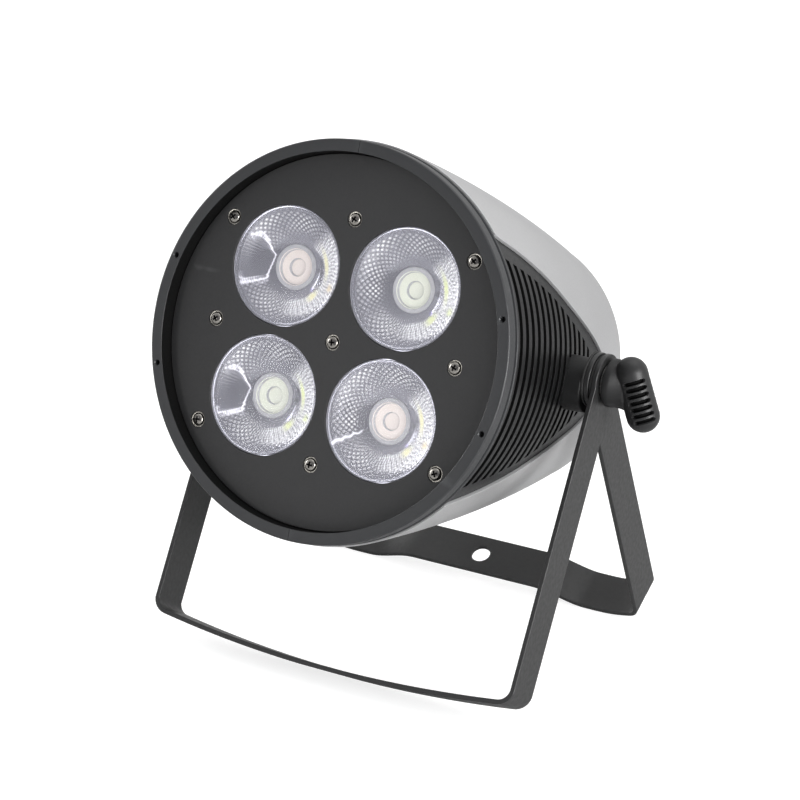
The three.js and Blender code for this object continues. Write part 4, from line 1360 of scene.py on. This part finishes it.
panel = [circle(0, 0, PANEL_R, 180), rect(0, DISPLAY_Y, 52.6, 20.6, 1.6)]
panel += [circle(x, BUTTON_Y, 4.4, 32) for x in BUTTONS.values()]
for x in (-SOCKET_X, SOCKET_X):
    panel += [circle(x, SIGNAL_Y, 12.1, 64), rect(x, MAINS_Y, 28.6, 20.6, 2)]
panel += [circle(x, y, 1.9, 20) for x in (-PANEL_SCREW, PANEL_SCREW)
          for y in (-PANEL_SCREW, PANEL_SCREW)]
panel.append(circle(0, EYE_Y, 3.3, 24))
piece("rear_panel_sheet", slab(panel, BACK, INNER, low_bevel=0.4), "face_plate_black",
      "rear_panel")

# display
pane = slab([rect(0, DISPLAY_Y, 52, 20, 1.3)], BACK - 0.4, INNER + 0.2, low_bevel=0.35, steps=2)
piece("display_pane", pane, "display_clear", "display_window")
bezel = slab([rect(0, DISPLAY_Y, 57, 25, 2.2), rect(0, DISPLAY_Y, 51.6, 19.6, 1.4)],
             BACK - 1.1, BACK - 0.05, low_bevel=0.4)
piece("display_bezel", bezel, "holder_black")


def digit(segments, x, y, height):
    """One seven-segment figure, read from behind the panel, so x runs the other way."""
    width, stroke = height * 0.52, height * 0.105
    centres = {  # x, y, lies flat
        "a": (0, height / 2, True), "g": (0, 0, True), "d": (0, -height / 2, True),
        "f": (-width / 2, height / 4, False), "b": (width / 2, height / 4, False),
        "e": (-width / 2, -height / 4, False), "c": (width / 2, -height / 4, False)}
    bars = []
    for key in segments:
        centre_x, centre_y, flat = centres[key]
        half = (width if flat else height / 2) / 2 - stroke * 0.35
        short, rise = half - stroke * 0.5, stroke / 2
        outline = [(-half, 0), (-short, -rise), (short, -rise), (half, 0), (short, rise),
                   (-short, rise)]
        if not flat:
            outline = [(across, along) for along, across in outline]
        loop = [(-(x + centre_x + dx), y + centre_y + dy) for dx, dy in outline]
        bars.append(slab([loop], BACK - 0.62, BACK - 0.42, low_bevel=0.05, steps=1))
    return join(bars)


FIGURES = {"0": "abcdef", "1": "bc", "A": "abcefg"}
piece("display_digits",
      join(digit(FIGURES[figure], -16.5 + i * 11, DISPLAY_Y, height=12.5)
           for i, figure in enumerate("A001")), "display_digits")

# buttons
cap = [(0, BACK - 1.9)]
cap += [(r, BACK - 1.9 + 0.9 * (r / 3.9) ** 4) for r in (1.2, 2.2, 2.9, 3.4, 3.75)]
cap += [(3.9, BACK - 0.6), (3.9, INNER + 1.4), (5.2, INNER + 1.4), (5.2, INNER + 2.6),
        (1.6, INNER + 2.6), (1.6, -241.2), (0, -241.2)]
for where, x in BUTTONS.items():
    piece("button_cap_" + where, revolve(cap, 48).shift(x, BUTTON_Y, 0), "button_rubber",
          "button_" + where, body="button_" + where, smooth=40)

# three-pole signal sockets
SIGNAL_POLES = ((-4.2, 3), (4.2, 3), (0, -4.6))
SIGNAL_RIVETS = ((-9.6, 12.1), (9.6, -12.1))
PIN = revolve([(0, BACK + 2.0), (0.7, BACK + 2.1), (1.15, BACK + 2.9), (1.2, -236.5),
               (0, -236.5)], 24)
RIVET = revolve([(0, BACK - 2.75), (1.3, BACK - 2.7), (2.3, BACK - 2.45), (2.6, BACK - 2.32),
                 (1.4, BACK - 2.2), (1.4, BACK - 0.4), (0, BACK - 0.4)], 28)


def signal_socket(name, pins, x):
    loops = [rect(0, 0, 26, 31, 2.5), circle(0, 0, 11.4, 72)]
    loops += [circle(dx, dy, 1.6, 20) for dx, dy in SIGNAL_RIVETS]
    body = slab(loops, BACK - 2.3, BACK - 0.3, low_bevel=0.5)
    bore = 9.6 if pins else 9.9
    barrel = [(bore, BACK - 2.9, 0.3), (11.35, BACK - 2.9, 0.5), (11.35, -233, 0)]
    if pins:
        barrel += [(0.01, -233, 0), (0.01, -236, 0), (bore, -236, 0)]
    else:
        barrel += [(bore, -233, 0)]
    body += revolve(rounded(barrel, 3), 72)
    if not pins:
        holes = [circle(dx, dy, 1.5, 20) for dx, dy in SIGNAL_POLES]
        body += slab([circle(0, 0, 8.0, 64)] + holes, BACK - 1.9, -240, low_bevel=0.5)
        body += revolve([(0.01, -240.0), (bore, -240.0), (bore, -238), (0.01, -238)], 48)
    piece(name + "_body", body.shift(x, SIGNAL_Y, 0), "socket_black", name)
    if pins:
        for i, (dx, dy) in enumerate(SIGNAL_POLES):
            piece(f"dmx_pin_{i + 1}", PIN.shift(x + dx, SIGNAL_Y + dy, 0), "zinc_steel")
    for i, (dx, dy) in enumerate(SIGNAL_RIVETS):
        piece(f"{name}_rivet_{i + 1}", RIVET.shift(x + dx, SIGNAL_Y + dy, 0), "screw_nickel")


signal_socket("dmx_in_socket", pins=True, x=-SOCKET_X)
signal_socket("dmx_out_socket", pins=False, x=SOCKET_X)

MAINS_POLES = ((-7, -2), (7, -2), (0, 2.5))


def mains_outline(width, height, cut=4):
    """A rectangle with its two upper corners cut off."""
    x, y = width / 2, height / 2
    corners = [(-x, -y), (x, -y), (x, y - cut), (x - cut, y), (-x + cut, y), (-x, y - cut)]
    return rounded([(*corner, 1.2) for corner in corners])


def mains_socket(name, pins, x):
    mouth, box = mains_outline(24.4, 17), rect(0, 0, 28, 20, 2)
    body = slab([rect(0, 0, 32, 24.4, 2.2), mouth], BACK - 2.3, BACK - 0.3, low_bevel=0.5)
    if pins:
        body += slab([box, mouth], BACK - 0.3, -235, steps=1)
        body += slab([box], -235, -232.5, steps=1)
    else:
        holes = [rect(dx, dy, 2.6, 6.2, 0.4) for dx, dy in MAINS_POLES]
        body += slab([mains_outline(24.2, 16.8)] + holes, BACK - 1.5, -238, low_bevel=0.4,
                     steps=2)
        body += slab([box], -238, -232.5, steps=1)
    piece(name + "_body", body.shift(x, MAINS_Y, 0), "socket_black", name)
    if pins:
        for i, (dx, dy) in enumerate(MAINS_POLES):
            blade = slab([rect(dx, dy, 2.0, 4.6, 0.4)], -249.5, -234.8, low_bevel=0.5, steps=2)
            piece(f"mains_blade_{i + 1}", blade.shift(x, MAINS_Y, 0), "zinc_steel")


mains_socket("power_inlet", pins=True, x=-SOCKET_X)
mains_socket("power_outlet", pins=False, x=SOCKET_X)

for where, (x, y) in PANEL_SCREWS.items():
    add_screw("panel_screw_" + where, "rear_screw_" + where,
              OPTIC @ Matrix.Translation((x, y, BACK - 0.1)) @ Matrix.Rotation(PI, 4, "Y"))


def torus(radius, wire, turns=72, count=20):
    """A ring about the y axis."""
    points, faces = [], []
    for j in range(turns):
        angle, after = 2 * PI * j / turns, (j + 1) % turns
        for k in range(count):
            around, above = 2 * PI * k / count, (k + 1) % count
            reach = radius + wire * math.cos(around)
            points.append((reach * math.cos(angle), wire * math.sin(around),
                           reach * math.sin(angle)))
            faces.append((j * count + k, j * count + above, after * count + above,
                          after * count + k))
    return Surface(points, faces)


eye_base = revolve(rounded([
    (0.01, BACK - 4.4, 0), (3.4, BACK - 4.4, 0.6), (6.2, BACK - 2.6, 0.7),
    (6.2, BACK - 0.25, 0.3), (2.9, BACK - 0.25, 0), (2.9, -240, 0), (0.01, -240, 0)]), 56)
piece("safety_eye_ring", torus(9, 2.0).shift(0, EYE_Y, BACK - 13.0) + eye_base.shift(0, EYE_Y, 0),
      "zinc_steel", "safety_eye")

# ------------------------------------------------------------------ inside parts
# they keep their CAD shapes and only get materials
INSIDE = {"lens_holder_" + where: "holder_black" for where in LENSES}
INSIDE.update(heat_sink="heat_sink_anodised", fan_frame="holder_black",
              fan_rotor="holder_black", power_supply="supply_case",
              control_board="circuit_board")
INSIDE.update({"led_chip_" + where: "led_warm" if where in WARM_LENSES else "led_cool"
               for where in LENSES})
for node, material in INSIDE.items():
    slots = frame["nodes"][node].data.materials
    slots.clear()
    slots.append(MATERIALS[material])


# ------------------------------------------------------------------ studio, metres
def add_floor():
    s = Shader("floor")
    # glows for the camera only, so that it looks white without lighting the product
    seen = s.node("ShaderNodeLightPath").outputs["Is Camera Ray"]
    s.finish(Base_Color=s.mix(s.noise(scale=3, detail=2), (0.50, 0.50, 0.50),
                              (0.52, 0.52, 0.52)),
             Roughness=0.8, Specular_IOR_Level=0.0, Emission_Color=(1, 1, 1),
             Emission_Strength=s.multiply(seen, 0.70))
    radius, z, count = 6, -0.0004, 96
    points = [(0, 0, z)] + [(x, y, z) for x, y in circle(0, 0, radius, count)]
    mesh = bpy.data.meshes.new("floor")
    mesh.from_pydata(points, [], [(0, 1 + i, 1 + (i + 1) % count) for i in range(count)])
    mesh.shade_smooth()
    floor = add_object("floor", mesh)
    mesh.materials.append(s.material)


def add_world():
    """White surroundings that darken towards the front."""
    world = bpy.data.worlds.new("studio")
    bpy.context.scene.world = world
    world.use_nodes = True
    nodes, links = world.node_tree.nodes, world.node_tree.links
    nodes.clear()
    output = nodes.new("ShaderNodeOutputWorld")
    background = nodes.new("ShaderNodeBackground")
    links.new(background.outputs[0], output.inputs[0])
    coords = nodes.new("ShaderNodeTexCoord")
    toward = nodes.new("ShaderNodeVectorMath")
    toward.operation = "DOT_PRODUCT"
    toward.inputs[1].default_value = (0.15, -0.95, 0.2)
    links.new(coords.outputs["Generated"], toward.inputs[0])
    colours = nodes.new("ShaderNodeValToRGB")
    white, grey = colours.color_ramp.elements
    white.position = 0.15
    white.color = (1.0, 1.0, 1.0, 1)
    grey.position = 0.95
    grey.color = (0.22, 0.22, 0.24, 1)
    links.new(toward.outputs["Value"], colours.inputs[0])
    links.new(colours.outputs[0], background.inputs[0])
    background.inputs["Strength"].default_value = 0.85


def area(name, place, size, power, glossy=True):
    """A square light aimed at the product. glossy: whether reflections show it."""
    light = bpy.data.lights.new(name, "AREA")
    light.energy = power
    light.size = size
    obj = bpy.data.objects.new(name, light)
    obj.location = place
    aim = Vector((0, 0, 0.2)) - Vector(place)
    obj.rotation_euler = aim.to_track_quat("-Z", "Y").to_euler()
    bpy.context.scene.collection.objects.link(obj)
    obj.visible_glossy = glossy


add_floor()
add_world()
area("left", (-2.0, 0.0, 0.42), size=1.3, power=42)
area("right", (1.9, -0.5, 0.5), size=1.0, power=42)
area("front", (0.5, -2.1, 0.9), size=1.7, power=11, glossy=False)
area("near_right", (0.95, -0.85, 0.3), size=0.5, power=8.0, glossy=False)
area("glint", (-0.9, -1.9, 0.55), size=0.35, power=2.2)
area("top", (0.3, 0.5, 2.2), size=1.8, power=13)


# ------------------------------------------------------------------ camera
def add_camera():
    azimuth, elevation, roll = rad(28.143), rad(17.735), rad(3.064)
    distance, pivot_right, pivot_up = 1611.77, 13.828, 35.695  # mm, pivot from the camera axis
    lean = Matrix.Rotation(-rad(1.6), 3, "X")  # the light stands on both yokes
    back = Vector((math.sin(azimuth) * math.cos(elevation),
                   -math.cos(azimuth) * math.cos(elevation), math.sin(elevation)))
    level = Vector((math.cos(azimuth), math.sin(azimuth), 0))
    upright = back.cross(level)
    right = level * math.cos(roll) + upright * math.sin(roll)
    up = -level * math.sin(roll) + upright * math.cos(roll)
    offset = (back * distance - right * pivot_right - up * pivot_up) * 0.001
    data = bpy.data.cameras.new("camera")
    data.sensor_width = 36
    data.lens = 114.62085
    data.clip_end = 50
    camera = bpy.data.objects.new("camera", data)
    camera.matrix_world = axes(lean @ right, lean @ up, lean @ back, lean @ offset + PIVOT)
    bpy.context.scene.collection.objects.link(camera)
    bpy.context.scene.camera = camera


add_camera()
view = bpy.context.scene.view_settings
view.view_transform = "Standard"
view.look = "None"
view.exposure = 0.0

bpy.context.view_layer.update()
